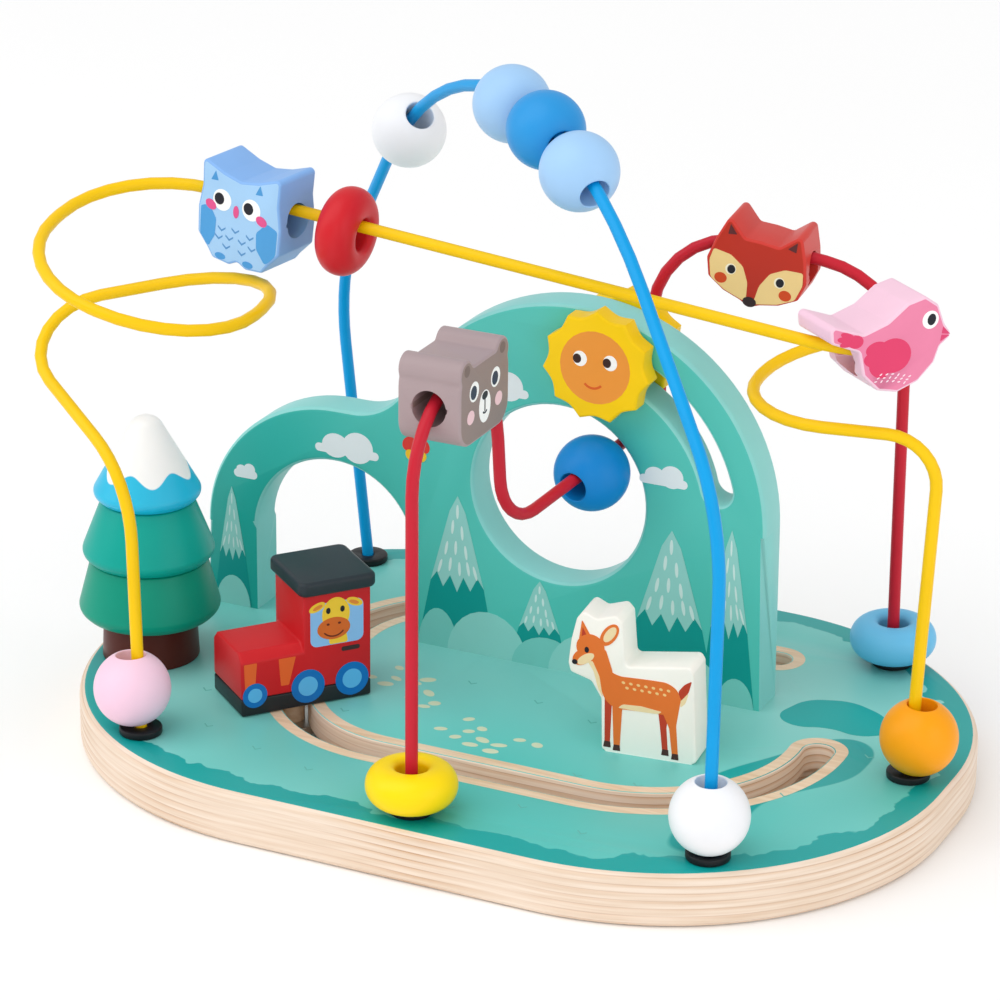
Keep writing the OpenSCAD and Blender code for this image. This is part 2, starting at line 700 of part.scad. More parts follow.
module blue_wire() color("#00a5e1") wire(blue_corners, blue_bends);
module red_wire() color("#cd2332") wire(red_corners, red_bends);
module yellow_wire() color("#facd0a") wire(yellow_corners, yellow_bends);

// Turns a piece whose hole runs up so that it threads its wire
module threaded(place) translate(place[0])
    rotate([0, acos(place[1].z), atan2(place[1].y, place[1].x)]) children();

module round_bead(place) threaded(place) rotate_extrude() difference() {
    circle(d = bead_d);
    translate([-bead_d, -bead_d]) square([bead_d + bead_hole_d / 2, 2 * bead_d]);
}

module flat_bead(place) threaded(place) rotate_extrude() {
    translate([disc_hole_d / 2, -disc_t / 2]) square([(disc_d - disc_t - disc_hole_d) / 2, disc_t]);
    translate([(disc_d - disc_t) / 2, 0]) intersection() {
        circle(d = disc_t);
        translate([0, -disc_t]) square([disc_t, 2 * disc_t]);
    }
}

module bead_pink() color("#f8d2e6") round_bead(pink_place);
module bead_orange() color("#fca505") round_bead(orange_place);
module bead_white_front() color("white") round_bead(white_front_place);
module bead_white_rear() color("white") round_bead(white_rear_place);
module bead_sky_front() color("#9bc8f0") round_bead(sky_front_place);
module bead_blue_mid() color("#2d96dc") round_bead(blue_mid_place);
module bead_sky_rear() color("#9bc8f0") round_bead(sky_rear_place);
module bead_royal() color("#0082d7") round_bead(royal_place);
module disc_yellow() color("#ffe100") flat_bead(disc_yellow_place);
module disc_sky() color("#5ab9eb") flat_bead(disc_sky_place);
module disc_red() color("#d71e23") flat_bead(disc_red_place);

// An outline with its corners and hollows rounded
module softened(r) {
    $fn = round_fn;
    offset(r = r) offset(r = -2 * r) offset(r = r) children();
}

// A whole outline from its right half
module both_halves(shares, w, h)
    polygon([
        for (s = shares) [s.x * w, s.y * h],
        for (i = [len(shares) - 1:-1:0]) if (shares[i].x > 0) [-shares[i].x * w, shares[i].y * h]
    ]);

// A block cut from an outline, drilled along its width at hole_up above its middle
module block(place, yaw, tilt, w, t, hole_up) translate(place) rotate([0, tilt, yaw]) difference() {
    translate([0, t / 2, -hole_up]) rotate([90, 0, 0]) linear_extrude(t) children();
    translate([-w, 0, 0]) rotate([0, 90, 0]) cylinder(d = block_hole_d, h = 2 * w);
}

module owl_block() color("#a5cdf0")
    block(owl_place, owl_yaw, pitch(straight_way), owl_w, owl_t, owl_hole_up)
        softened(block_round) both_halves(owl_half_shares, owl_w, owl_h);

module bear_block() color("#a5918f")
    block(bear_place, 90, 0, bear_w, bear_t, bear_hole_up) softened(block_round) {
        translate([0, -bear_ear_rise / 2]) offset(r = bear_head_r, $fn = round_fn)
            square([bear_w - 2 * bear_head_r, bear_h - bear_ear_rise - 2 * bear_head_r], center = true);
        for (x = [-1, 1]) translate([x * (bear_w / 2 - bear_ear_r), bear_h / 2 - bear_ear_r])
            circle(bear_ear_r, $fn = round_fn);
    }

module fox_block() color("#c83723")
    block(fox_place, fox_yaw, pitch(fox_way), fox_w, fox_t, fox_hole_up)
        softened(block_round) both_halves(fox_half_shares, fox_w, fox_h);

module bird_block() color("#f6d0e4")
    block(bird_place, bird_yaw, pitch(bird_way), bird_l, bird_t, bird_hole_up)
        softened(block_round) polygon([for (s = bird_shares) [s.x * bird_l, s.y * bird_h]]);

// A scalloped sun with its back at the origin, its thickness along +Y and a blind hole for its pin
module sun(pin_y) difference() {
    rotate([-90, 0, 0]) linear_extrude(sun_t) difference() {
        circle(sun_r);
        for (i = [0:sun_points - 1]) rotate((i + 1 / 2) * 360 / sun_points)
            translate([sun_r * (1 + 1 / sun_points), 0]) circle(sun_r * PI / sun_points * 2 / 3);
    }
    translate([0, pin_y, 0]) rotate([-90, 0, 0])
        cylinder(d = sun_pin_d + 2 * press_gap, h = sun_pin_bite + over);
}

module sun_front() color("#ffd700") translate(sun_place) sun(sun_t - sun_pin_bite);
module sun_back() color("#ffd700") translate([sun_place.x, wall_rear_y + seat_gap, sun_place.z]) sun(-over);
module sun_pin() color("burlywood")
    translate([sun_place.x, sun_front_y + sun_t - sun_pin_bite, sun_place.z])
        rotate([-90, 0, 0]) cylinder(d = sun_pin_d, h = sun_pin_l);

// A turned tier of the tree with a rim below, drilled for the dowel up to depth
module tier(z, r, r_top, h, depth) translate(tree_place + [0, 0, z]) difference() {
    rotate_extrude() polygon([[0, 0], [r - tier_rim, 0], [r, tier_rim], [r_top, h], [0, h]]);
    translate([0, 0, -over]) cylinder(d = dowel_hole_d, h = depth + over);
}

module tree_trunk() color("#5f2828") translate(tree_place) difference() {
    cylinder(r1 = trunk_r, r2 = trunk_r - trunk_taper, h = trunk_h);
    translate([0, 0, -over]) cylinder(d = dowel_hole_d, h = trunk_h + 2 * over);
}
module tree_lower_tier() color("#008c73")
    tier(lower_tier_z, lower_tier_r, middle_tier_r - tier_rim, lower_tier_h, lower_tier_h + over);
module tree_middle_tier() color("#00a596")
    tier(middle_tier_z, middle_tier_r, top_tier_r - tier_rim, middle_tier_h, middle_tier_h + over);
module tree_top() color("#3cafd7") {
    tier(top_tier_z, top_tier_r, tip_r, top_tier_h - tip_r, dowel_bite + press_gap);
    translate(tree_place + [0, 0, top_tier_z + top_tier_h - tip_r]) intersection() {
        sphere(tip_r);
        translate([-tip_r, -tip_r, 0]) cube(2 * tip_r);
    }
}
module tree_dowel() color("burlywood")
    translate(tree_place - [0, 0, dowel_bite]) cylinder(d = dowel_d, h = dowel_l);

// Puts a piece on the train, with its middle on the peg and its bonnet towards -X before turning
module on_train(z) translate(peg_place + [0, 0, z]) rotate(train_yaw) children();

module train_body() color("#cd1e23") difference() {
    on_train(body_z) {
        translate([train_l / 2 - cab_l, -train_w / 2]) cube([cab_l, train_w, cab_h]);
        translate([-train_l / 2, 0]) rotate([90, 0, 90]) linear_extrude(bonnet_l) polygon([
            [-train_w / 2, 0], [train_w / 2, 0], [train_w / 2, bonnet_h - bonnet_chamfer],
            [train_w / 2 - bonnet_chamfer, bonnet_h], [bonnet_chamfer - train_w / 2, bonnet_h],
            [-train_w / 2, bonnet_h - bonnet_chamfer]
        ]);
    }
    translate(peg_place) cylinder(d = peg_d + 2 * run_gap, h = peg_top_z + seat_gap);
}

module train_roof() color("#2d373e") on_train(roof_z)
    translate([train_l / 2 - cab_l / 2, 0]) linear_extrude(roof_t)
        offset(r = roof_round, $fn = round_fn)
            square([cab_l, train_w] + 2 * (roof_lip - roof_round) * [1, 1], center = true);

module train_chassis() color("#26282c") difference() {
    on_train(train_z) translate([-train_l / 2, -train_w / 2]) cube([train_l, train_w, chassis_h]);
    translate(peg_place) cylinder(d = peg_d + 2 * run_gap, h = body_z + over);
}

module train_peg() color("burlywood") translate(peg_place) difference() {
    translate([0, 0, peg_z]) cylinder(d = peg_d, h = peg_top_z - peg_z);
    translate([0, 0, peg_z - over]) cylinder(d = pilot_d, h = peg_screw_bite + press_gap + over);
}

module peg_screw() color("silver") translate(peg_place + [0, 0, peg_z - peg_head_h]) {
    cylinder(d = peg_head_d, h = peg_head_h);
    cylinder(d = screw_d, h = peg_head_h + peg_screw_bite);
}

module track_washer() color("silver") translate(peg_place + [0, 0, washer_z]) difference() {
    cylinder(d = washer_d, h = washer_t);
    translate([0, 0, -over]) cylinder(d = peg_d + 2 * press_gap, h = washer_t + 2 * over);
}

module deer_block() color("#f6efe4") difference() {
    translate([deer_x, -deer_y, base_t]) rotate([90, 0, deer_yaw]) linear_extrude(deer_t, center = true)
        softened(deer_round) polygon([for (s = deer_shares) [s.x * deer_l, s.y * deer_h]]);
    translate(screw_places[3]) wood_screw(press_gap);
}

base_board();
foot_collars();
arch_wall();
fixing_screws();
blue_wire();
red_wire();
yellow_wire();
bead_pink();
bead_orange();
bead_white_front();
bead_white_rear();
bead_sky_front();
bead_blue_mid();
bead_sky_rear();
bead_royal();
disc_yellow();
disc_sky();
disc_red();
owl_block();
bear_block();
fox_block();
bird_block();
sun_front();
sun_back();
sun_pin();
tree_trunk();
tree_lower_tier();
tree_middle_tier();
tree_top();
tree_dowel();
train_body();
train_roof();
train_chassis();
train_peg();
peg_screw();
track_washer();
deer_block();
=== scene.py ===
import json
import math
import random

import bmesh
import bpy
from mathutils import Matrix, Vector


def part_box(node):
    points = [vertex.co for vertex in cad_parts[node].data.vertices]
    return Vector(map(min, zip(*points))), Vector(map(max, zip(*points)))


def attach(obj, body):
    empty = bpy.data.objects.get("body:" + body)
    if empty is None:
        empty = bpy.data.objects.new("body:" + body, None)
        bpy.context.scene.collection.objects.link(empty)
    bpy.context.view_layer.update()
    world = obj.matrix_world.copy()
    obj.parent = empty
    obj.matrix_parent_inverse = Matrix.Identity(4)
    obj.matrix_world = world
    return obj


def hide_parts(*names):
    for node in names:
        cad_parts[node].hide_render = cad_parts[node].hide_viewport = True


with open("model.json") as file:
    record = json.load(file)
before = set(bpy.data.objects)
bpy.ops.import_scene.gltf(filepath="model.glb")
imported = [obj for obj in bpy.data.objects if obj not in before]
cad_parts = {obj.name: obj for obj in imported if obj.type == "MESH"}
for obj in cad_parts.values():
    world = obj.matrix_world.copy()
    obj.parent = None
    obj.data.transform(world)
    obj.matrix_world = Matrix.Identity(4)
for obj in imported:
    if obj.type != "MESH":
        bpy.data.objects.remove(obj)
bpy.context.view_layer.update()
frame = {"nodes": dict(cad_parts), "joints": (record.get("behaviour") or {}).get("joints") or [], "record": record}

# Studio: a bead maze on a pale table top under a broad overhead light and two soft side lights.
# The camera looks down on it from the front right with a long lens, as a catalogue picture does.
mm = 0.001
look_at = Vector((-20.513, 23.131, 75.801)) * mm
camera_distance = 1331.63 * mm
camera_azimuth = math.radians(25.257)
camera_elevation = math.radians(22.018)
camera_roll = math.radians(0.59)
to_camera = Vector((
    math.sin(camera_azimuth) * math.cos(camera_elevation),
    -math.cos(camera_azimuth) * math.cos(camera_elevation),
    math.sin(camera_elevation),
))
lens = bpy.data.cameras.new("long_lens")
lens.sensor_width = 36
lens.lens = 144.93
camera = bpy.data.objects.new("long_lens", lens)
aim = to_camera.to_track_quat("Z", "Y").to_matrix().to_4x4()
camera.matrix_world = (
    Matrix.Translation(look_at + camera_distance * to_camera) @ aim @ Matrix.Rotation(camera_roll, 4, "Z")
)
bpy.context.scene.collection.objects.link(camera)
bpy.context.scene.camera = camera

world = bpy.data.worlds.new("white_room")
world.use_nodes = True
world.node_tree.nodes["Background"].inputs["Color"].default_value = (1, 1, 1, 1)
world.node_tree.nodes["Background"].inputs["Strength"].default_value = 0.67
bpy.context.scene.world = world
bpy.context.scene.view_settings.view_transform = "Standard"
day = bpy.data.lights.new("ceiling_light", "SUN")
day.energy = 1.05
day.angle = math.radians(60)
ceiling = bpy.data.objects.new("ceiling_light", day)
ceiling.matrix_world = Vector((-0.35, -0.45, 1)).to_track_quat("Z", "Y").to_matrix().to_4x4()
bpy.context.scene.collection.objects.link(ceiling)
soft_lights = {
    "left_light": ((-1.5, -0.9, 0.9), 1.0, 4),
    "right_light": ((1.5, -0.5, 0.6), 1.2, 4.5),
    "front_light": ((0.6, -1.7, 0.7), 0.9, 2),
}
for light_name, (place, size, watts) in soft_lights.items():
    light = bpy.data.lights.new(light_name, "AREA")
    light.size = size
    light.energy = watts
    lamp = bpy.data.objects.new(light_name, light)
    lamp.matrix_world = Matrix.Translation(place) @ Vector(place).to_track_quat("Z", "Y").to_matrix().to_4x4()
    bpy.context.scene.collection.objects.link(lamp)


def linear(colour):
    """The linear values of a colour written as six hexadecimal digits."""
    channels = [int(colour[i:i + 2], 16) / 255 for i in (1, 3, 5)]
    return [c / 12.92 if c <= 0.04045 else ((c + 0.055) / 1.055) ** 2.4 for c in channels] + [1]


def add_node(tree, kind, inputs=None, **settings):
    """A new node, its settings made and its inputs given a value or a link."""
    node = tree.nodes.new(kind)
    for name, value in settings.items():
        setattr(node, name, value)
    for name, value in (inputs or {}).items():
        if isinstance(value, bpy.types.NodeSocket):
            tree.links.new(value, node.inputs[name])
        else:
            node.inputs[name].default_value = value
    return node


def new_material(name):
    """An empty material, with its tree and its main shader."""
    material = bpy.data.materials.new(name)
    material.use_nodes = True
    return material, material.node_tree, material.node_tree.nodes["Principled BSDF"]


def object_place(tree):
    """Where a point lies on its piece, which stays the same when the piece moves."""
    return add_node(tree, "ShaderNodeTexCoord").outputs["Object"]


def noise(tree, where, scale, detail):
    """Soft noise about a half."""
    node = add_node(tree, "ShaderNodeTexNoise", {"Vector": where, "Scale": scale, "Detail": detail})
    return node.outputs["Fac"]


def remap(tree, value, low, high, start=0, end=1):
    """A value that runs from start to end, made to run from low to high."""
    return add_node(tree, "ShaderNodeMapRange", {
        "Value": value, "From Min": start, "From Max": end, "To Min": low, "To Max": high,
    }).outputs[0]


def blend(tree, factor, first, second, **settings):
    """Two colours mixed by a factor."""
    return add_node(tree, "ShaderNodeMix", {"Factor": factor, "A": first, "B": second}, data_type="RGBA",
                    **settings).outputs[2]


# Table top: a matt white sheet with a faint cloudiness, made as one flat square.
# The board lies on it. It is only the stage of the picture and no piece of the toy.
floor_size = 12
floor_bm = bmesh.new()
bmesh.ops.create_grid(floor_bm, x_segments=1, y_segments=1, size=floor_size / 2)
floor_mesh = bpy.data.meshes.new("table_top")
floor_bm.to_mesh(floor_mesh)
floor_bm.free()
floor_material, tree, shader = new_material("table_white")
tint = blend(tree, noise(tree, object_place(tree), 1.5, 2), linear("#fbfbfb"), linear("#ffffff"))
tree.links.new(tint, shader.inputs["Base Color"])
shader.inputs["Roughness"].default_value = 0.8
shader.inputs["Specular IOR Level"].default_value = 0.1
floor_mesh.materials.append(floor_material)
floor = bpy.data.objects.new("table_top", floor_mesh)
bpy.context.scene.collection.objects.link(floor)


# Board: thick birch plywood with rounded rims and bare layered edges, sawn through for the track.
# Its top is printed with a light field, a darker, wavy border and a few darker shallows.
def cad_copy(node):
    """The solid of a node as one joined mesh with its flat faces whole."""
    bm = bmesh.new()
    bm.from_mesh(frame["nodes"][node].data)
    bmesh.ops.remove_doubles(bm, verts=bm.verts, dist=0.002 * mm)
    bmesh.ops.dissolve_limit(bm, angle_limit=math.radians(1), verts=bm.verts, edges=bm.edges)
    return bm


def round_edges(bm, radius, chosen=lambda edge: True, segments=3, least_angle=50):
    """Rounds the sharp edges that are chosen."""
    edges = [
        e for e in bm.edges
        if len(e.link_faces) == 2 and e.calc_face_angle(0) > math.radians(least_angle) and chosen(e)
    ]
    bmesh.ops.bevel(
        bm, geom=edges, offset=radius * mm, offset_type="OFFSET", segments=segments, profile=0.5,
        affect="EDGES", material=-1, clamp_overlap=False,
    )


def finish_piece(bm, name, body, slot, materials, *nodes, crease=38):
    """Makes the object of a piece, puts it on its body and gives it its finishes."""
    mesh = bpy.data.meshes.new(name)
    bm.to_mesh(mesh)
    bm.free()
    for material in materials:
        mesh.materials.append(material)
    mesh.shade_smooth()
    mesh.set_sharp_from_angle(angle=math.radians(crease))
    piece = bpy.data.objects.new(name, mesh)
    bpy.context.scene.collection.objects.link(piece)
    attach(piece, body)
    if nodes:
        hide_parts(*nodes)


half_l, half_w, board_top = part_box("base_board")[1]
corner_r = 98 * mm
rim_round = 2.6
slot_ease = 0.5
border_ripple = 22 * mm
ink_blur = 0.2 * mm


def beyond_rim(point):
    """How far a point lies outside the board's outline."""
    dx = max(abs(point.x) - half_l + corner_r, 0)
    dy = max(abs(point.y) - half_w + corner_r, 0)
    return math.hypot(dx, dy) - corner_r


def on_rim(edge):
    """Whether an edge runs along the board's outline."""
    return all(abs(beyond_rim(v.co)) < 0.2 * mm for v in edge.verts)


board_bm = cad_copy("base_board")
round_edges(board_bm, rim_round, on_rim, segments=5)
round_edges(
    board_bm, slot_ease, lambda e: not on_rim(e) and all(v.co.z > board_top - 0.1 * mm for v in e.verts)
)
for face in board_bm.faces:
    printed = face.normal.z > 0.9 and face.calc_center_median().z > board_top - 0.2 * mm
    face.material_index = 0 if printed else 1

meadow_print, tree, shader = new_material("meadow_print")
where = object_place(tree)
spread = add_node(tree, "ShaderNodeVectorMath", {0: where}, operation="ABSOLUTE")
inner = (half_l - corner_r, half_w - corner_r, 1)
spread = add_node(tree, "ShaderNodeVectorMath", {0: spread.outputs[0], 1: inner}, operation="SUBTRACT")
spread = add_node(tree, "ShaderNodeVectorMath", {0: spread.outputs[0], 1: (0, 0, 0)}, operation="MAXIMUM")
reach = add_node(tree, "ShaderNodeVectorMath", {0: spread.outputs[0]}, operation="LENGTH")
ripple = noise(tree, where, 55, 3)
wave = add_node(tree, "ShaderNodeMath", {0: ripple, 1: border_ripple, 2: reach.outputs["Value"]},
                operation="MULTIPLY_ADD")
border = remap(tree, wave.outputs[0], 0, 1, corner_r - ink_blur, corner_r + ink_blur)
shallows = remap(tree, noise(tree, where, 15, 0.6), 0, 1, 0.72, 0.726)
shade = add_node(tree, "ShaderNodeMath", {0: border, 1: shallows}, operation="MAXIMUM")
drift = remap(tree, noise(tree, where, 6, 2), 0, 1, 0.35, 0.65)
field = blend(tree, drift, linear("#8ed6d0"), linear("#56c3bb"))
tree.links.new(blend(tree, shade.outputs[0], field, linear("#00a29f")), shader.inputs["Base Color"])
tree.links.new(remap(tree, ripple, 0.34, 0.46), shader.inputs["Roughness"])


def wood_material(name, pale, dark, stretch, layers=0):
    """Bare birch: streaks of grain along the stretched axis, and glue lines between plywood layers."""
    material, tree, shader = new_material(name)
    where = object_place(tree)
    along = add_node(tree, "ShaderNodeMapping", {"Vector": where, "Scale": stretch})
    grain = noise(tree, along.outputs[0], 1, 5)
    colour = blend(tree, remap(tree, grain, 0, 1, 0.36, 0.72), linear(pale), linear(dark))
    if layers:
        height = add_node(tree, "ShaderNodeSeparateXYZ", {0: where}).outputs["Z"]
        level = add_node(tree, "ShaderNodeMath", {0: height, 1: layers / board_top}, operation="MULTIPLY")
        level = add_node(tree, "ShaderNodeMath", {0: noise(tree, where, 9, 2), 1: 0.9, 2: level.outputs[0]},
                         operation="MULTIPLY_ADD")
        level = add_node(tree, "ShaderNodeMath", {0: level.outputs[0]}, operation="FRACT")
        line = add_node(tree, "ShaderNodeValToRGB", {"Fac": level.outputs[0]})
        line.color_ramp.elements[0].color = linear("#b98a5f")
        line.color_ramp.elements[1].color = linear("#ffffff")
        line.color_ramp.elements[1].position = 0.13
        tone = line.color_ramp.elements.new(0.6)
        tone.color = linear("#ffffff")
        end = line.color_ramp.elements.new(1.0)
        end.color = linear("#ecd6be")
        fade = remap(tree, noise(tree, where, 17, 1), 0.15, 0.95, 0.38, 0.66)
        colour = blend(tree, fade, colour, line.outputs["Color"], blend_type="MULTIPLY")
    tree.links.new(colour, shader.inputs["Base Color"])
    tree.links.new(remap(tree, grain, 0.42, 0.6), shader.inputs["Roughness"])
    bump = add_node(tree, "ShaderNodeBump", {"Height": grain, "Strength": 0.15, "Distance": 0.3 * mm})
    tree.links.new(bump.outputs[0], shader.inputs["Normal"])
    return material


ply_edge = wood_material("ply_edge", "#f1dfcd", "#e2c9b0", (30, 30, 900), layers=7)
finish_piece(board_bm, "board", "board", "birch", [meadow_print, ply_edge], "base_board")

# Bare margin of the track: a strip of unprinted birch that follows the slot all the way round.
# It lies a hair above the print, cut back from the slot's rim, and its ends are round as the slot's are.
slot_half = 5 * mm
margin_in = slot_half + 0.6 * mm
margin_out = slot_half + 4.6 * mm
track_left, track_rear, track_front = -76 * mm, 66 * mm, -57 * mm
rear_end = Vector((63 * mm, track_rear, 0))
rear_bend_r, left_bend_r, right_bend_r = 44 * mm, 50 * mm, 57 * mm
right_bend_x = 45 * mm
right_bend_turn = math.radians(95)
margin_z = board_top + 0.05 * mm
margin_depth = 0.3 * mm
margin_bm = bmesh.new()


def spun_on(bm, edge, centre, angle, steps):
    """The edge swept round a centre, and where it ends."""
    swept = bmesh.ops.spin(
        bm, geom=[edge, *edge.verts], cent=(centre[0], centre[1], margin_z), axis=(0, 0, 1), angle=angle,
        steps=steps, use_merge=False,
    )
    return next(g for g in swept["geom_last"] if isinstance(g, bmesh.types.BMEdge))


def drawn_on(bm, edge, step):
    """The edge swept along a straight, and where it ends."""
    made = bmesh.ops.extrude_edge_only(bm, edges=[edge])["geom"]
    bmesh.ops.translate(bm, verts=[g for g in made if isinstance(g, bmesh.types.BMVert)], vec=step)
    return next(g for g in made if isinstance(g, bmesh.types.BMEdge) and len(g.link_faces) == 1
                and all(v in made for v in g.verts))


def margin_side(bm, edge):
    """One long side of the margin, from the rear end of the track to its front end."""
    rear_centre = (track_left + rear_bend_r, track_rear - rear_bend_r)
    left_centre = (track_left + left_bend_r, track_front + left_bend_r)
    right_centre = (right_bend_x, track_front + right_bend_r)
    edge = drawn_on(bm, edge, (rear_centre[0] - rear_end.x, 0, 0))
    edge = spun_on(bm, edge, rear_centre, math.pi / 2, 24)
    edge = drawn_on(bm, edge, (0, left_centre[1] - rear_centre[1], 0))
    edge = spun_on(bm, edge, left_centre, math.pi / 2, 24)
    edge = drawn_on(bm, edge, (right_centre[0] - left_centre[0], 0, 0))
    return spun_on(bm, edge, right_centre, right_bend_turn, 26)


def thicken(bm, faces, step):
    """Extrudes flat faces by a step and gives back the new corners."""
    made = bmesh.ops.extrude_face_region(bm, geom=faces)["geom"]
    corners = [g for g in made if isinstance(g, bmesh.types.BMVert)]
    bmesh.ops.translate(bm, verts=corners, vec=step)
    return corners


for side in (1, -1):
    ends = [
        margin_bm.verts.new((rear_end.x, rear_end.y + side * reach, margin_z))
        for reach in (margin_in, margin_out)
    ]
    start = margin_bm.edges.new(ends)
    spun_on(margin_bm, start, rear_end, -side * math.pi / 2, 10)
    last = margin_side(margin_bm, start)
    turn = right_bend_turn - math.pi / 2
    front_end = (
        right_bend_x + right_bend_r * math.cos(turn),
        track_front + right_bend_r + right_bend_r * math.sin(turn),
    )
    spun_on(margin_bm, last, front_end, side * math.pi / 2, 10)
bmesh.ops.remove_doubles(margin_bm, verts=margin_bm.verts, dist=0.02 * mm)
bmesh.ops.recalc_face_normals(margin_bm, faces=margin_bm.faces)
thicken(margin_bm, margin_bm.faces[:], (0, 0, -margin_depth))
bmesh.ops.recalc_face_normals(margin_bm, faces=margin_bm.faces)
bare_birch = wood_material("bare_birch", "#f0d6b9", "#dfbd98", (40, 500, 500))
finish_piece(margin_bm, "track_margin", "board", "birch", [bare_birch])


# Paint: one effect for every painted piece, a satin coat over sanded wood with faint brush grain.
# Each colour is mixed once, and the pieces of that colour share it.
def make_paint_group():
    """The effect as a node group that takes a colour."""
    group = bpy.data.node_groups.new("satin_paint", "ShaderNodeTree")
    group.interface.new_socket("Colour", in_out="INPUT", socket_type="NodeSocketColor")
    group.interface.new_socket("Colour", in_out="OUTPUT", socket_type="NodeSocketColor")
    group.interface.new_socket("Roughness", in_out="OUTPUT", socket_type="NodeSocketFloat")
    group.interface.new_socket("Normal", in_out="OUTPUT", socket_type="NodeSocketVector")
    paint = add_node(group, "NodeGroupInput")
    out = add_node(group, "NodeGroupOutput")
    where = object_place(group)
    cloud = noise(group, where, 55, 3)
    tone = remap(group, cloud, 0.93, 1.05)
    shaded = add_node(group, "ShaderNodeVectorMath", {0: paint.outputs["Colour"], "Scale": tone},
                      operation="SCALE")
    group.links.new(shaded.outputs[0], out.inputs["Colour"])
    group.links.new(remap(group, cloud, 0.3, 0.46), out.inputs["Roughness"])
    along = add_node(group, "ShaderNodeMapping", {"Vector": where, "Scale": (300, 300, 1400)})
    brush = noise(group, along.outputs[0], 1, 3)
    bump = add_node(group, "ShaderNodeBump", {"Height": brush, "Strength": 0.08, "Distance": 0.2 * mm})
    group.links.new(bump.outputs[0], out.inputs["Normal"])
    return group


paint_group = make_paint_group()
paints = {}


def coat_with(tree, shader, colour):
    """Puts the effect on a shader, in one colour or in the colours of a link."""
    coat = add_node(tree, "ShaderNodeGroup", {"Colour": colour}, node_tree=paint_group)
    tree.links.new(coat.outputs["Colour"], shader.inputs["Base Color"])
    tree.links.new(coat.outputs["Roughness"], shader.inputs["Roughness"])
    tree.links.new(coat.outputs["Normal"], shader.inputs["Normal"])


def paint(colour):
    """The satin paint of a colour, mixed once."""
    if colour not in paints:
        material, tree, shader = new_material("paint_" + colour[1:])
        coat_with(tree, shader, linear(colour))
        shader.inputs["Specular IOR Level"].default_value = 0.22
        paints[colour] = material
    return paints[colour]


# Prints: ink pressed flat on painted wood, each colour a little proud of the one under it.
# Every patch is a thin closed solid with a height of its own, so no two tops lie in one plane.
class Print:
    """Flat patches on one face, drawn in millimetres from the face's middle, u along it and v up it."""

    thickness = 0.04
    next_coat = 0.0008

    def __init__(self, face):
        self.face = face @ Matrix.Scale(mm, 4)
        self.bm = bmesh.new()
        self.colours = []
        self.coats = 0

    def lay(self, old, colour, level):
        """Gives the faces that are not old their colour and thickness."""
        if colour not in self.colours:
            self.colours.append(colour)
        flat = [f for f in self.bm.faces if f not in old]
        self.coats += 1
        tops = thicken(self.bm, flat, (0, 0, level * self.thickness + self.coats * self.next_coat))
        for face in {f for top in tops for f in top.link_faces}:
            face.material_index = self.colours.index(colour)

    def oval(self, u, v, wide, high, colour, level=1, turn=0):
        """An oval patch."""
        old = set(self.bm.faces)
        spin = Matrix.Rotation(math.radians(turn), 4, "Z")
        place = Matrix.Translation((u, v, 0)) @ spin @ Matrix.Diagonal((wide / 2, high / 2, 1, 1))
        bmesh.ops.create_circle(self.bm, cap_ends=True, segments=28, radius=1, matrix=place)
        self.lay(old, colour, level)

    def patch(self, corners, colour, level=1, soft=0):
        """A patch with straight sides, its corners rounded off by a length."""
        old = set(self.bm.faces)
        corners = [self.bm.verts.new((u, v, 0)) for u, v in corners]
        self.bm.faces.new(corners)
        if soft:
            bmesh.ops.bevel(self.bm, geom=corners, offset=soft, offset_type="OFFSET", segments=5, profile=0.5,
                            affect="VERTICES", material=-1, clamp_overlap=True)
        self.lay(old, colour, level)

    def arc(self, u, v, radius, start, turn, thick, colour, level=1):
        """A stroke of even thickness round a centre, from one angle on through a turn."""
        old = set(self.bm.faces)
        way = Vector((math.cos(math.radians(start)), math.sin(math.radians(start)), 0))
        ends = [self.bm.verts.new(Vector((u, v, 0)) + (radius + side * thick / 2) * way) for side in (-1, 1)]
        stroke = self.bm.edges.new(ends)
        bmesh.ops.spin(self.bm, geom=[stroke, *ends], cent=(u, v, 0), axis=(0, 0, 1),
                       angle=math.radians(turn), steps=12, use_merge=False)
        self.lay(old, colour, level)

    def finish(self, name, body, slot):
        """Puts the patches on their face and makes them a piece of a body."""
        bmesh.ops.transform(self.bm, matrix=self.face, verts=self.bm.verts)
        bmesh.ops.recalc_face_normals(self.bm, faces=self.bm.faces)
        finish_piece(self.bm, name, body, slot, [paint(colour) for colour in self.colours])


def face_frame(node, looks, across):
    """A frame on the middle of a node's flat side: along it, up it and out of it."""
    bm = cad_copy(node)
    side = max((f for f in bm.faces if f.normal.dot(looks) > 0.9), key=lambda f: f.calc_area())
    out = side.normal.copy()
    right = (across - across.dot(out) * out).normalized()
    up = out.cross(right)
    up *= math.copysign(1, up.z)
    turn = Matrix((right, up, out)).transposed()
    spread = [turn.transposed() @ v.co for v in side.verts]
    middle = Vector([(min(reach) + max(reach)) / 2 for reach in zip(*spread)])
    bm.free()
    return Matrix.Translation(turn @ middle) @ turn.to_4x4()


ink_white, ink_black = "#fdfdfb", "#20202a"

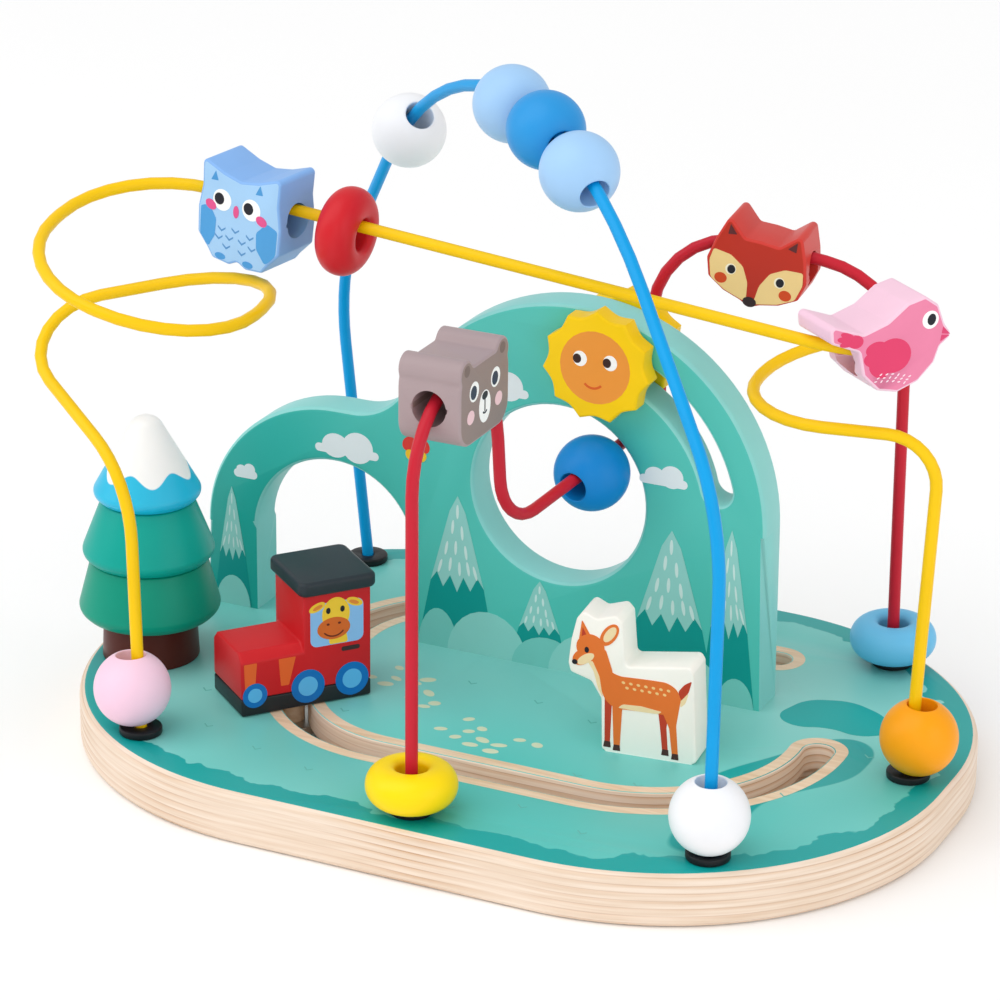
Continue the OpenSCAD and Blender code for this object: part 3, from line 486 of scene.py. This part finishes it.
# Pebble trail: pale flat stones and ticks of grass printed on the board's top, and one dark teal patch of painted
# shadow.
# The stones lie between the wall and the track, and the painted shadow beside the wall's right foot, behind the
# track's right end.
trail = Print(Matrix.Translation((0, 0, board_top)))
chance = random.Random(11)
for row in range(11):
    for lane in (-1, 0, 1):
        if chance.random() < 0.25:
            continue
        u = -50 + 6.6 * row + 2.6 * lane + chance.uniform(-1.2, 1.2)
        v = -4 - 3.6 * row + 5.4 * lane + 4 * math.sin(row * 0.7) + chance.uniform(-1, 1)
        wide = chance.uniform(3.6, 5.6)
        high = chance.uniform(2.4, 3.4)
        trail.oval(u, v, wide, high, "#d6dcbd", 1, chance.uniform(-40, 40))
grass = (
    (-96, -42), (-82, -66), (-60, -74), (-38, -80), (-12, -76), (14, -84), (34, -74), (58, -82), (84, -62),
    (104, -30), (118, 8), (100, 30), (-20, 2), (6, -2), (28, -8), (60, -44), (-48, -36), (40, -46),
)
for u, v in grass:
    trail.patch([(u - 1.7, v + 1.2), (u, v - 0.5), (u + 1.3, v + 0.9), (u + 1.5, v + 0.5), (u, v - 1.1),
                 (u - 2, v + 0.8)], "#68bab1")
# Painted shadow: a dark teal patch beside the wall's right foot, where the wall's shade falls on the board.
wall_foot_shadow = [(79, 24), (84, 40), (98, 45), (112, 39), (119, 28), (110, 20), (98, 23), (88, 18)]
trail.patch(wall_foot_shadow, "#00a8a6", 1, 5)
trail.finish("pebble_trail", "board", "birch")

# Collars: black moulded bushes with softened flanges, pressed into the board.
# They hold the ends of the wires.
collar_bm = cad_copy("foot_collars")
round_edges(collar_bm, 0.6)
finish_piece(collar_bm, "foot_collars_black", "board", "collar_black", [paint("#1b1d20")], "foot_collars")

# Wires: bent steel rods in a smooth coloured coating, shaded as round.
# Their ends are sunk in the collars.
wires = {
    "blue_wire": ("#009fe3", "wire_blue"), "red_wire": ("#c81f33", "wire_red"),
    "yellow_wire": ("#f9c900", "wire_yellow"),
}
for node, (colour, slot) in wires.items():
    finish_piece(cad_copy(node), node + "_coated", "board", slot, [paint(colour)], node, crease=60)

# Wooden beads: turned balls and rounded discs with a wide bored hole, painted all over.
# They are threaded on the wires and run along them.
def thread_way(node):
    """The middle of a threaded piece and the way its wire runs there."""
    low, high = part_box(node)
    middle = (Vector(low) + Vector(high)) / 2
    body = next(b for b, nodes in frame["record"]["behaviour"]["bodies"].items() if node in nodes)
    joint = next(j for j in frame["joints"] if j["child"] == body)
    way = Vector(joint["axis"])
    if joint["type"] == "hinge":
        way = way.cross(middle - Vector(joint["pos_m"]))
    return middle, way.normalized(), body


def seat(middle, way):
    """The frame of a turned piece with its axis along the wire."""
    return Matrix.Translation(middle) @ way.to_track_quat("Z", "Y").to_matrix().to_4x4()


bead_r = 12.5 * mm
bead_hole_r = 4.75 * mm
bead_ease = 0.7
turning_steps = 64
bead_colours = {
    "bead_pink": ("#f7cfe4", "paint_pink"), "bead_orange": ("#fca30a", "paint_orange"),
    "bead_white_front": ("#f2f3f6", "paint_white"), "bead_white_rear": ("#f2f3f6", "paint_white"),
    "bead_sky_front": ("#a4cdf4", "paint_sky"), "bead_blue_mid": ("#2a97dc", "paint_blue"),
    "bead_sky_rear": ("#a4cdf4", "paint_sky"), "bead_royal": ("#0a84d0", "paint_royal"),
}
for node, (colour, slot) in bead_colours.items():
    middle, way, body = thread_way(node)
    bead_bm = bmesh.new()
    bmesh.ops.create_uvsphere(bead_bm, u_segments=turning_steps, v_segments=48, radius=bead_r)
    poles = [v for v in bead_bm.verts if math.hypot(v.co.x, v.co.y) < bead_hole_r - 0.1 * mm]
    bmesh.ops.delete(bead_bm, geom=poles, context="VERTS")
    rims = [e for e in bead_bm.edges if e.is_boundary]
    bmesh.ops.bridge_loops(bead_bm, edges=rims)
    round_edges(bead_bm, bead_ease, least_angle=40)
    bmesh.ops.transform(bead_bm, matrix=seat(middle, way), verts=bead_bm.verts)
    bmesh.ops.recalc_face_normals(bead_bm, faces=bead_bm.faces)
    finish_piece(bead_bm, node + "_painted", body, slot, [paint(colour)], node)

disc_r = 14.5 * mm
disc_half = 6.5 * mm
disc_hole_r = 5 * mm
disc_ease = 2.2 * mm
disc_colours = {
    "disc_yellow": ("#ffdc00", "paint_yellow"), "disc_sky": ("#6ec3ee", "paint_sky"),
    "disc_red": ("#d2202a", "paint_red"),
}
for node, (colour, slot) in disc_colours.items():
    middle, way, body = thread_way(node)
    disc_bm = bmesh.new()
    corners = [(disc_hole_r, -disc_half), (disc_r, -disc_half), (disc_r, disc_half), (disc_hole_r, disc_half)]
    section = [disc_bm.verts.new((x, 0, z)) for x, z in corners]
    disc_bm.faces.new(section)
    bmesh.ops.bevel(disc_bm, geom=section[1:3], offset=disc_half * 0.98, offset_type="OFFSET", segments=14,
                    profile=0.5, affect="VERTICES", material=-1)
    inner = [v for v in disc_bm.verts if v.co.x < disc_hole_r + 0.1 * mm]
    bmesh.ops.bevel(disc_bm, geom=inner, offset=disc_ease, offset_type="OFFSET", segments=6, profile=0.5,
                    affect="VERTICES", material=-1)
    bmesh.ops.delete(disc_bm, geom=disc_bm.faces[:], context="FACES_ONLY")
    bmesh.ops.spin(disc_bm, geom=disc_bm.verts[:] + disc_bm.edges[:], cent=(0, 0, 0), axis=(0, 0, 1),
                   angle=2 * math.pi, steps=turning_steps, use_merge=True)
    bmesh.ops.remove_doubles(disc_bm, verts=disc_bm.verts, dist=0.002 * mm)
    bmesh.ops.transform(disc_bm, matrix=seat(middle, way), verts=disc_bm.verts)
    bmesh.ops.recalc_face_normals(disc_bm, faces=disc_bm.faces)
    finish_piece(disc_bm, node + "_painted", body, slot, [paint(colour)], node)

# Arch wall: a sawn plywood panel with a tunnel, a round window and a curved slot, painted all over.
# It stands in the middle of the board, screwed on from below, and its front and rear are printed
# with a misty hillside: clouds, snowy pines and a row of bushes.
wall_low, wall_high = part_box("arch_wall")
wall_round = 1.6
wall_bm = cad_copy("arch_wall")
round_edges(wall_bm, wall_round, lambda e: all(v.co.z > board_top + 0.1 * mm for v in e.verts), segments=4)
for face in wall_bm.faces:
    face.material_index = 0 if abs(face.normal.y) > 0.9 else 1
hill_print, tree, shader = new_material("hill_print")
where = object_place(tree)
along = add_node(tree, "ShaderNodeSeparateXYZ", {0: where}).outputs["X"]
haze = noise(tree, where, 9, 2)
slope = remap(tree, along, 0.55, 0, -130 * mm, -40 * mm)
mist = add_node(tree, "ShaderNodeMath", {0: haze, 1: 0.5, 2: slope}, operation="MULTIPLY_ADD")
mist = remap(tree, mist.outputs[0], 0, 1, 0.15, 0.75)
tree.links.new(blend(tree, mist, linear("#54c9be"), linear("#00a79d")), shader.inputs["Base Color"])
tree.links.new(remap(tree, haze, 0.34, 0.48), shader.inputs["Roughness"])
finish_piece(wall_bm, "arch_wall_printed", "board", "teal_print", [hill_print, paint("#8fd8d4")], "arch_wall")


def draw_cloud(p, u, v, wide):
    """A flat-bottomed cloud of three puffs."""
    grey = "#e6eff3"
    left, right = u - wide / 2, u + wide / 2
    p.patch([(left, v), (right, v), (right, v + 3), (left, v + 3)], grey, 1, 1.45)
    p.oval(u - wide * 0.18, v + 3, wide * 0.42, wide * 0.36, grey)
    p.oval(u + wide * 0.17, v + 3.4, wide * 0.48, wide * 0.46, grey)


def draw_pine(p, u, top, wide):
    """A broad pine with a ragged dark hem and streaked snow over its upper half."""
    foot = 17
    tall = top - foot
    hem = [(0.1, 0.1), (0.34, 0.56), (0.5, 0.97), (0.37, 0.92), (0.28, 1), (0.14, 0.93), (0.04, 1),
           (-0.09, 0.93), (-0.2, 1), (-0.34, 0.92), (-0.5, 0.97), (-0.34, 0.56), (-0.1, 0.1)]
    p.patch([(u, top), *((u + wide * share, top - tall * drop) for share, drop in hem)], "#0c9a95", 1)
    snow = [(0.1, 0.1), (0.34, 0.56), (0.26, 0.5), (0.17, 0.59), (0.08, 0.51), (0, 0.61), (-0.09, 0.51),
            (-0.18, 0.59), (-0.26, 0.5), (-0.34, 0.56), (-0.1, 0.1)]
    p.patch([(u, top), *((u + wide * share, top - tall * drop) for share, drop in snow)], "#97d6d0", 2)
    for share, drop in ((0, 0.1), (-0.06, 0.2), (0.06, 0.23), (-0.14, 0.34), (-0.02, 0.33), (0.11, 0.35),
                        (-0.22, 0.46), (-0.09, 0.44), (0.03, 0.46), (0.14, 0.45), (0.23, 0.47)):
        p.oval(u + wide * share, top - tall * drop, wide * 0.035, tall * 0.09, "#d5edea", 3, 70 * share)


def draw_hillside(p):
    """The whole landscape, measured along the wall and up from the table."""
    for u, v, wide in ((-78, 81, 24), (-22, 112.5, 22), (37.5, 91, 17), (-117, 66, 9)):
        draw_cloud(p, u, v, wide)
    for u, top, wide in ((-36.5, 74, 29), (-6, 49, 22), (41, 76, 34), (62, 80, 19), (-122.5, 62, 14.5)):
        draw_pine(p, u, top, wide)
    bush_foot = 17
    bushes = ((-43.5, 15, 30), (-25, 30, 34), (-3, 26, 24), (13, 31, 32), (31, 26, 24), (48, 27, 32),
              (65, 13, 22), (-122.5, 13.5, 24))
    for step, (u, wide, high) in enumerate(bushes):
        p.oval(u, bush_foot, wide, high, "#92d9d2" if step % 2 else "#7ccfc7", 3.2)
    for side in (-1, 1):
        p.oval(-52 + 2.6 * side, 89.5, 4.6, 5.6, "#dd3b35", 1, 35 * side)
        p.oval(-52 + 2.1 * side, 85.6, 3.4, 4, "#f5c430", 1.2, -35 * side)
    p.oval(-52, 87.6, 1.1, 6.4, "#4a3434", 2)


for side, y in ((-1, wall_low[1]), (1, wall_high[1])):
    wall_face = Matrix(((1, 0, 0, 0), (0, 0, side, y), (0, 1, 0, 0), (0, 0, 0, 1)))
    hillside = Print(wall_face)
    draw_hillside(hillside)
    hillside.finish("hillside_front" if side < 0 else "hillside_rear", "board", "teal_print")


# Sun: two discs sawn with a ring of hollow bites, on one pin that slides in the wall's slot.
# They are painted yellow, and each has a round orange face printed in its middle.
def draw_sun(p):
    """A smiling face that looks to the left."""
    p.oval(0, 0, 24.6, 24.6, "#f0993a")
    for side, look in ((-1, -6.3), (1, 4.2)):
        p.oval(5.3 * side, 2.4, 4.9, 5.2, ink_white, 2)
        p.oval(look, 2.3, 2.9, 3.2, "#3a2320", 3)
    p.arc(-0.6, -3.2, 3.9, 222, 96, 0.8, "#dd5f22", 2)


sun_points = 11
sun_crest = 18.9 * mm
sun_bite = 2 * mm
for node, out in (("sun_front", -1), ("sun_back", 1)):
    face = face_frame(node, Vector((0, out, 0)), Vector((1, 0, 0)))
    sun_low, sun_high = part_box(node)
    sun_bm = bmesh.new()
    bmesh.ops.create_circle(sun_bm, cap_ends=True, segments=14 * sun_points, radius=1)
    for vert in sun_bm.verts:
        turn = math.atan2(vert.co.x, vert.co.y)
        vert.co *= sun_crest - sun_bite * abs(math.sin(sun_points * turn / 2))
    thicken(sun_bm, sun_bm.faces[:], (0, 0, sun_low[1] - sun_high[1]))
    round_edges(sun_bm, 1, lambda e: e.calc_length() < 4 * mm, segments=4, least_angle=70)
    bmesh.ops.transform(sun_bm, matrix=face, verts=sun_bm.verts)
    bmesh.ops.recalc_face_normals(sun_bm, faces=sun_bm.faces)
    finish_piece(sun_bm, node + "_painted", "sun", "paint_yellow", [paint("#ffd200")], node)
    sun_face = Print(face)
    draw_sun(sun_face)
    sun_face.finish(node + "_face", "sun", "paint_yellow")


# Animal blocks: sawn from thick board along a rounded outline and bored from side to side for the wire.
# Their edges are eased, their sides sprayed, and both faces are printed.
def draw_owl(p):
    """Eyes, cheeks, beak, ear tufts, wings, breast feathers and feet."""
    tuft, wing, rose = "#4a98d6", "#4e9edb", "#e2548f"
    for u, v in ((-7.0, 4.6), (4.6, 4.2)):
        p.oval(u, v, 7.2, 7.2, ink_white, 2)
        p.oval(u - 1.1, v + 0.2, 3.8, 4.0, ink_black, 3)
    for u, v in ((-11.3, 2.0), (8.8, 1.5)):
        p.oval(u, v, 4.4, 3.2, rose, 3, -20)
    p.oval(-1.3, 2.0, 2.2, 4.2, rose, 3)
    for u, v in ((-10.3, 12.0), (7.4, 11.5)):
        p.patch([(u - 1.5, v - 1.6), (u + 1.4, v - 1.3), (u + 0.2, v + 1.8)], tuft, 1, 0.2)
    p.patch([(-15.2, 0.6), (-12, 1.9), (-9, -2.4), (-9.2, -8), (-11.4, -12.2), (-12.4, -11.6), (-15, -8.6)],
            wing, 2, 1.4)
    p.patch([(15.2, -0.2), (11, 1.3), (7, -2.8), (7.4, -8.4), (11, -12.6), (12.4, -11.6), (15, -8.6)],
            wing, 2, 1.4)
    marks = ((-6.6, -5.2), (-1.2, -4.6), (4.6, -5.4), (-7.6, -8.2), (-3.4, -7.6), (1.6, -7.8), (5.6, -9),
             (-4.4, -10.8), (1.8, -11.4))
    for u, v in marks:
        p.patch([(u - 1.5, v + 0.9), (u, v - 0.2), (u + 1.5, v + 0.9), (u + 1.5, v + 0.3), (u, v - 0.9),
                 (u - 1.5, v + 0.3)], "#5a93c9", 1)
    for u, v in ((-6.6, -14.5), (4.4, -14.6)):
        p.oval(u, v, 4.2, 2.2, tuft)


def draw_bear(p):
    """Eyes, cheeks, ears and a pale muzzle."""
    for side in (-1, 1):
        p.oval(7.4 * side, 2.6, 6.4, 6.4, ink_white)
        p.oval(7.4 * side - 0.4, 2.4, 4.2, 4.4, "#26324a", 2)
        p.oval(9.7 * side, -5, 5, 4.4, "#f3ccd2")
        p.oval(12.3 * side, 10.6, 3.8, 3.6, "#7a6660")
    p.oval(0, -4.4, 8, 10.4, ink_white)
    p.oval(0, -0.9, 4, 2.6, ink_black, 2)
    p.patch([(-0.35, -1.5), (0.35, -1.5), (0.35, -6), (-0.35, -6)], ink_black, 2)
    p.arc(0, -4.6, 1.9, 225, 90, 0.6, ink_black, 2)


def draw_fox(p):
    """Pale cheeks with eyes and red spots, ear tips and a nose."""
    cheek = [(15.2, 2.8), (9.2, 2.2), (4.6, -0.6), (2, -5.6), (1.2, -12.1), (3.2, -11.7), (9.2, -10),
             (14.4, -7), (15.9, -1.4)]
    for side in (-1, 1):
        p.patch([(side * u, v) for u, v in cheek], "#f2d391", 1, 0.8)
        p.oval(8.3 * side, -2.6, 3.6, 3.7, "#fbf3dc", 2)
        p.oval(8.3 * side + 0.2, -2.6, 2.7, 3, ink_black, 3)
        p.oval(11 * side, -6.4, 4.2, 3.6, "#d24a1e", 2)
        p.patch([(side * u, v) for u, v in ((8.6, 9.4), (11.6, 8.8), (11.4, 12.4))], "#5d2a2c", 1, 0.3)
    p.oval(0, -11.8, 4.6, 3.4, "#352628", 3)


def draw_bird(p):
    """An eye, a beak, a wing, tail feathers and a speckled breast."""
    middle, feather = 3.8, "#e2406c"
    p.oval(middle + 9.3, 8.1, 5.8, 5.8, ink_white, 1)
    p.oval(middle + 9.7, 8.2, 3, 3.7, ink_black, 2)
    p.patch([(middle + 14.4, 6.2), (middle + 17.5, 3.9), (middle + 14.4, 3.9)], "#dd4775", 1, 0.2)
    p.patch([(middle + 14.4, 3.5), (middle + 17.4, 3.5), (middle + 14.4, 1.4)], "#dd4775", 1, 0.2)
    p.oval(middle - 1.6, -3.6, 12.8, 11, feather, 1)
    for u, v, turn in ((-8, -1.8, 15), (-8, -5.2, 0), (-5.8, -8.2, -25)):
        p.oval(middle + u, v, 7.6, 4.8, feather, 1.1, turn)
    p.oval(middle - 16, 0.3, 5.4, 4.2, feather, 1)
    for u, v, turn in ((-19.4, 2, -12), (-20.2, 0.8, 0), (-19, -0.5, 12)):
        p.oval(middle + u, v, 5, 2, feather, 1.1, turn)
    for step in range(18):
        u = middle - 6 + 0.7 * step
        v = -11.6 + 1.1 * (step % 3) - 0.06 * abs(step - 8)
        p.oval(u, v, 1.1, 0.45, "#fbdfe9", 1, 15 + 14 * (step % 4))


animal_blocks = {
    "owl_block": (Vector((0, -1, 0)), "#86b5ee", "#a3cdf3", draw_owl, "paint_sky"),
    "bear_block": (Vector((1, 0, 0)), "#ab989a", "#93807b", draw_bear, "paint_bear"),
    "fox_block": (Vector((0, -1, 0)), "#d23c33", "#bb3020", draw_fox, "paint_fox"),
    "bird_block": (Vector((0.79, -0.61, 0)), "#f5cbde", "#ec86a8", draw_bird, "paint_pink"),
}
block_ease = 0.8
flat_enough = 0.99
for node, (looks, side_colour, face_colour, draw, slot) in animal_blocks.items():
    way, body = thread_way(node)[1:]
    across = way * math.copysign(1, way.dot(Vector((0, 0, 1)).cross(looks)))
    faces = {"front": face_frame(node, looks, across), "rear": face_frame(node, -looks, across)}
    out = faces["front"].col[2].xyz
    block_bm = cad_copy(node)
    round_edges(
        block_bm, block_ease, lambda e: any(abs(f.normal.dot(out)) > flat_enough for f in e.link_faces),
        segments=4,
    )
    for face in block_bm.faces:
        face.material_index = 1 if abs(face.normal.dot(out)) > flat_enough else 0
    finish_piece(block_bm, node + "_painted", body, slot, [paint(side_colour), paint(face_colour)], node)
    for end, face in faces.items():
        picture = Print(face)
        draw(picture)
        picture.finish(node + "_" + end, body, slot)

# Tree: turned tiers glued on a dowel, each with a rounded rim, over a short brown trunk.
# The top tier is dipped in white, with a wavy edge to the snow.
tree_low, tree_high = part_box("tree_trunk")
tree_x = (tree_low[0] + tree_high[0]) / 2
tree_y = (tree_low[1] + tree_high[1]) / 2


def turned(section, rounds):
    """A solid turned from a section of corners, each eased by its own radius."""
    bm = bmesh.new()
    corners = [bm.verts.new((r * mm, 0, z * mm)) for r, z in section]
    bm.faces.new(corners)
    for corner, radius in zip(corners, rounds):
        if radius:
            bmesh.ops.bevel(bm, geom=[corner], offset=radius * mm, offset_type="WIDTH", segments=6,
                            profile=0.5, affect="VERTICES", material=-1)
    bmesh.ops.delete(bm, geom=bm.faces[:], context="FACES_ONLY")
    axis_edges = [e for e in bm.edges if all(abs(v.co.x) < 0.001 * mm for v in e.verts)]
    bmesh.ops.delete(bm, geom=axis_edges, context="EDGES")
    bmesh.ops.spin(bm, geom=bm.verts[:] + bm.edges[:], cent=(0, 0, 0), axis=(0, 0, 1), angle=2 * math.pi,
                   steps=turning_steps, use_merge=True)
    bmesh.ops.remove_doubles(bm, verts=bm.verts, dist=0.002 * mm)
    bmesh.ops.recalc_face_normals(bm, faces=bm.faces)
    return bm


snow_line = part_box("tree_top")[0][2] + 10.8 * mm
snow_wave = 1.9 * mm
snow_waves = 6
snowy, tree, shader = new_material("snowy_blue")
reach = add_node(tree, "ShaderNodeVectorMath", {0: object_place(tree), 1: (tree_x, tree_y, 0)},
                 operation="SUBTRACT")
axes = add_node(tree, "ShaderNodeSeparateXYZ", {0: reach.outputs[0]})
turn = add_node(tree, "ShaderNodeMath", {0: axes.outputs["Y"], 1: axes.outputs["X"]}, operation="ARCTAN2")
turn = add_node(tree, "ShaderNodeMath", {0: turn.outputs[0], 1: snow_waves, 2: 0.8}, operation="MULTIPLY_ADD")
wave = add_node(tree, "ShaderNodeMath", {0: turn.outputs[0]}, operation="SINE")
level = add_node(tree, "ShaderNodeMath", {0: wave.outputs[0], 1: snow_wave, 2: axes.outputs["Z"]},
                 operation="MULTIPLY_ADD")
white = remap(tree, level.outputs[0], 0, 1, snow_line - ink_blur, snow_line + ink_blur)
coat_with(tree, shader, blend(tree, white, linear("#10bce4"), linear("#f9fafa")))
tree_tiers = {
    "tree_trunk": ([(0, 0), (16.3, 0), (15.6, 15), (0, 15)], (0, 0.8, 0.8, 0), paint("#5a2118"),
                   "paint_brown"),
    "tree_lower_tier": ([(0, 0), (21, 0), (24, 3), (19.5, 20), (0, 20)], (0, 2, 3, 1, 0),
                        paint("#00967c"), "paint_green"),
    "tree_middle_tier": ([(0, 0), (19.5, 0), (22.5, 3), (15.5, 21), (0, 21)], (0, 2, 3, 1, 0),
                         paint("#00a597"), "paint_teal"),
    "tree_top": ([(0, 0), (15.5, 0), (18.5, 3), (4.6, 28), (0, 30)], (0, 2, 3, 3, 0), snowy,
                 "paint_tree_blue"),
}
for node, (section, rounds, finish, slot) in tree_tiers.items():
    tier_bm = turned(section, rounds)
    bmesh.ops.translate(tier_bm, verts=tier_bm.verts, vec=(tree_x, tree_y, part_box(node)[0][2]))
    finish_piece(tier_bm, node + "_painted", "board", slot, [finish], node)

# Train: a red body with a bonnet and a cab, a dark chassis and a dark roof with rounded corners.
# It turns on a peg that runs in the track, and wheels and a passenger's window are printed on its sides.
train_ease = 0.7
roof_round = 1.4
train_body_bm = cad_copy("train_body")
round_edges(train_body_bm, train_ease, least_angle=30)
finish_piece(train_body_bm, "train_body_painted", "train", "paint_red", [paint("#cb1d24")], "train_body")
train_roof_bm = cad_copy("train_roof")
round_edges(train_roof_bm, roof_round, segments=4)
finish_piece(train_roof_bm, "train_roof_painted", "train", "paint_dark", [paint("#2c353b")], "train_roof")
chassis_bm = cad_copy("train_chassis")
round_edges(chassis_bm, train_ease)
finish_piece(chassis_bm, "train_chassis_painted", "train", "paint_dark", [paint("#24272a")], "train_chassis")


def draw_train(p):
    """Wheels, flashes on the bonnet, and a window with an animal that looks out."""
    nose, sill = -22.8, -16.5
    hide, dark = "#f7cb3c", "#6a2c1c"
    for u, radius in ((4.6, 4.3), (23.2, 5.9), (38.8, 5.9)):
        p.oval(nose + u, sill + 1.2, 2 * radius, 2 * radius, "#0f6fbd", 2)
        p.oval(nose + u, sill + 1.2, 1.16 * radius, 1.16 * radius, "#5cb4ea", 3)
    for top, foot in (((0.9, 5.4), (1.2, 4.6)), ((13, 19), (13.7, 16.5))):
        p.patch([(nose + top[0], sill + 12.6), (nose + top[1], sill + 12.6), (nose + foot[1], sill + 3),
                 (nose + foot[0], sill + 3)], "#e8642c", 1, 0.3)
    p.patch([(1.4, -2), (20.1, -2), (20.1, 13.1), (1.4, 13.1)], "#8dbff0", 1, 2.4)
    p.patch([(8, -1.8), (14.6, -1.8), (13.4, 6), (7.6, 6)], hide, 2, 0.8)
    for side in (-1, 1):
        p.oval(10.4 + 6.6 * side, 12, 6, 2.8, hide, 2, -22 * side)
        p.oval(10.4 + 6.4 * side, 11.9, 3.6, 1.4, "#e58b3a", 3, -22 * side)
    p.oval(10.4, 8.6, 9.8, 12, hide, 2.5)
    p.oval(9.6, 3.8, 11.6, 7.8, "#d96a2b", 3)
    for side in (-1, 1):
        p.oval(10.2 + 2.5 * side, 10.2, 1.6, 2.2, ink_black, 3)
        p.oval(9.6 + 2 * side, 5.4, 1.1, 0.8, dark, 4)
    p.arc(9.6, 5.4, 4.4, 220, 100, 0.5, dark, 4)
    p.patch([(12.3, -5), (18.8, -5), (18.8, -3.4), (12.3, -3.4)], "#3b2a2c", 1, 0.7)


train_turn = Vector((0.77, -0.64, 0)).normalized()
train_across = Vector((0, 0, 1)).cross(train_turn)
for name, looks in (("near", train_turn), ("far", -train_turn)):
    train_side = Print(face_frame("train_body", looks, train_across))
    draw_train(train_side)
    train_side.finish("train_side_" + name, "train", "paint_red")

# Deer: a thick block sawn round a fawn with a margin, painted pale and printed on both sides.
# It stands on the board, screwed on from below.
deer_ease = 0.7
deer_bm = cad_copy("deer_block")
round_edges(deer_bm, deer_ease, lambda e: any(v.co.z > board_top + 0.1 * mm for v in e.verts))
finish_piece(deer_bm, "deer_block_painted", "board", "deer_print", [paint("#fffcf4")], "deer_block")


def draw_fawn(p):
    """A standing fawn: far legs, near legs, hooves, tail, body, neck, ears, head and spots."""
    coat, shade, cream, hoof = "#ea7833", "#c2412a", "#f9e0b0", "#4b302c"
    p.patch([(-9.2, -4), (-6.6, -4), (-7.1, -21.3), (-8.9, -21.3)], shade, 1, 0.4)
    p.patch([(8.4, -6), (12.6, -6), (11.6, -13), (12.3, -20.9), (10.4, -20.9), (9.5, -13.4)], shade, 1, 0.4)
    p.patch([(-6.8, -4), (-3, -4), (-3.8, -22), (-5.8, -22)], coat, 2, 0.4)
    p.patch([(10.6, -2), (16.2, -3), (14.8, -12), (15.7, -21.8), (13.7, -21.8), (12.5, -13), (10, -8)],
            coat, 2, 0.5)
    for u, v in ((-8, -21.4), (11.4, -21.2), (-4.8, -22.1), (14.7, -22.1)):
        p.patch([(u - 1, v + 1.2), (u + 1, v + 1.2), (u + 1.2, v - 0.7), (u - 1.3, v - 0.7)], hoof, 2.5, 0.2)
    p.patch([(15.2, -1), (17.2, 1.4), (19.6, 2.8), (18.6, -1), (16, -4)], shade, 1.5, 0.6)
    p.patch([(16, -2.6), (18.6, -1.3), (17.6, -4.6), (16, -6)], cream, 1.2, 0.5)
    p.patch([(-9.8, 3.4), (-5, 0.9), (4, 1.2), (12, 1.2), (15.8, -1.4), (16, -6), (12, -9), (2, -9.2),
             (-6, -9.4), (-9.6, -6.6), (-11, -1)], coat, 3, 2)
    p.patch([(-4.6, -9), (-3, -7.7), (3, -7.4), (10, -8.2), (8.6, -9.1), (2, -9.2)], cream, 4, 0.5)
    p.patch([(-15.4, 5.6), (-9.4, 9.4), (-6.4, 1.4), (-8.6, -6), (-11, -3), (-12.6, 2)], coat, 3.5, 1.6)
    p.patch([(-15.6, 5), (-13.4, 4.6), (-11, 0), (-9.8, -6.4), (-11.4, -3.8), (-13, 1.4)], cream, 4, 0.6)
    p.patch([(-18.2, 10), (-17.2, 17), (-13.6, 11.4)], coat, 3, 0.6)
    p.patch([(-17.3, 11), (-16.9, 14.8), (-15, 11.4)], shade, 4, 0.3)
    p.oval(-8, 13.4, 4.6, 8.4, coat, 3, -38)
    p.oval(-7.8, 13.6, 2.8, 6, cream, 4, -38)
    p.oval(-14.2, 8.6, 9.4, 8.4, coat, 4)
    p.oval(-16.9, 5.3, 7, 4.6, coat, 4.2, 32)
    p.oval(-15.7, 4.9, 6.4, 2.7, cream, 5, 32)
    p.oval(-19.3, 3.5, 1.9, 1.6, ink_black, 6)
    p.oval(-15.4, 7.8, 1.5, 1.9, ink_black, 5)
    for step in range(13):
        u = -3 + 1.25 * step
        p.oval(u, -0.9 - 1.5 * (step % 2) - 0.03 * u, 1.2, 0.8, "#f9cf8a", 4, -15)


deer_turn = math.radians(6)
deer_looks = Vector((math.sin(deer_turn), -math.cos(deer_turn), 0))
deer_across = Vector((math.cos(deer_turn), math.sin(deer_turn), 0))
fawn_feet = Matrix.Translation((0, -22.8 * mm, 0))
fawn_stretch = fawn_feet @ Matrix.Scale(1.1, 4, (0, 1, 0)) @ fawn_feet.inverted()
for name, looks in (("near", deer_looks), ("far", -deer_looks)):
    fawn = Print(face_frame("deer_block", looks, deer_across) @ fawn_stretch)
    draw_fawn(fawn)
    fawn.finish("fawn_" + name, "board", "deer_print")

# Fittings out of sight: the dowel and the pins are bare birch, the screws and the washer bright steel.
# They keep their own shapes and only take a finish.
steel, tree, shader = new_material("bright_steel")
shader.inputs["Base Color"].default_value = linear("#c4c4c0")
shader.inputs["Metallic"].default_value = 1
turning = noise(tree, object_place(tree), 900, 3)
tree.links.new(remap(tree, turning, 0.22, 0.42), shader.inputs["Roughness"])
fittings = {
    "sun_pin": bare_birch, "tree_dowel": bare_birch, "train_peg": bare_birch, "fixing_screws": steel,
    "peg_screw": steel, "track_washer": steel,
}
for node, material in fittings.items():
    for material_slot in frame["nodes"][node].material_slots:
        material_slot.material = material
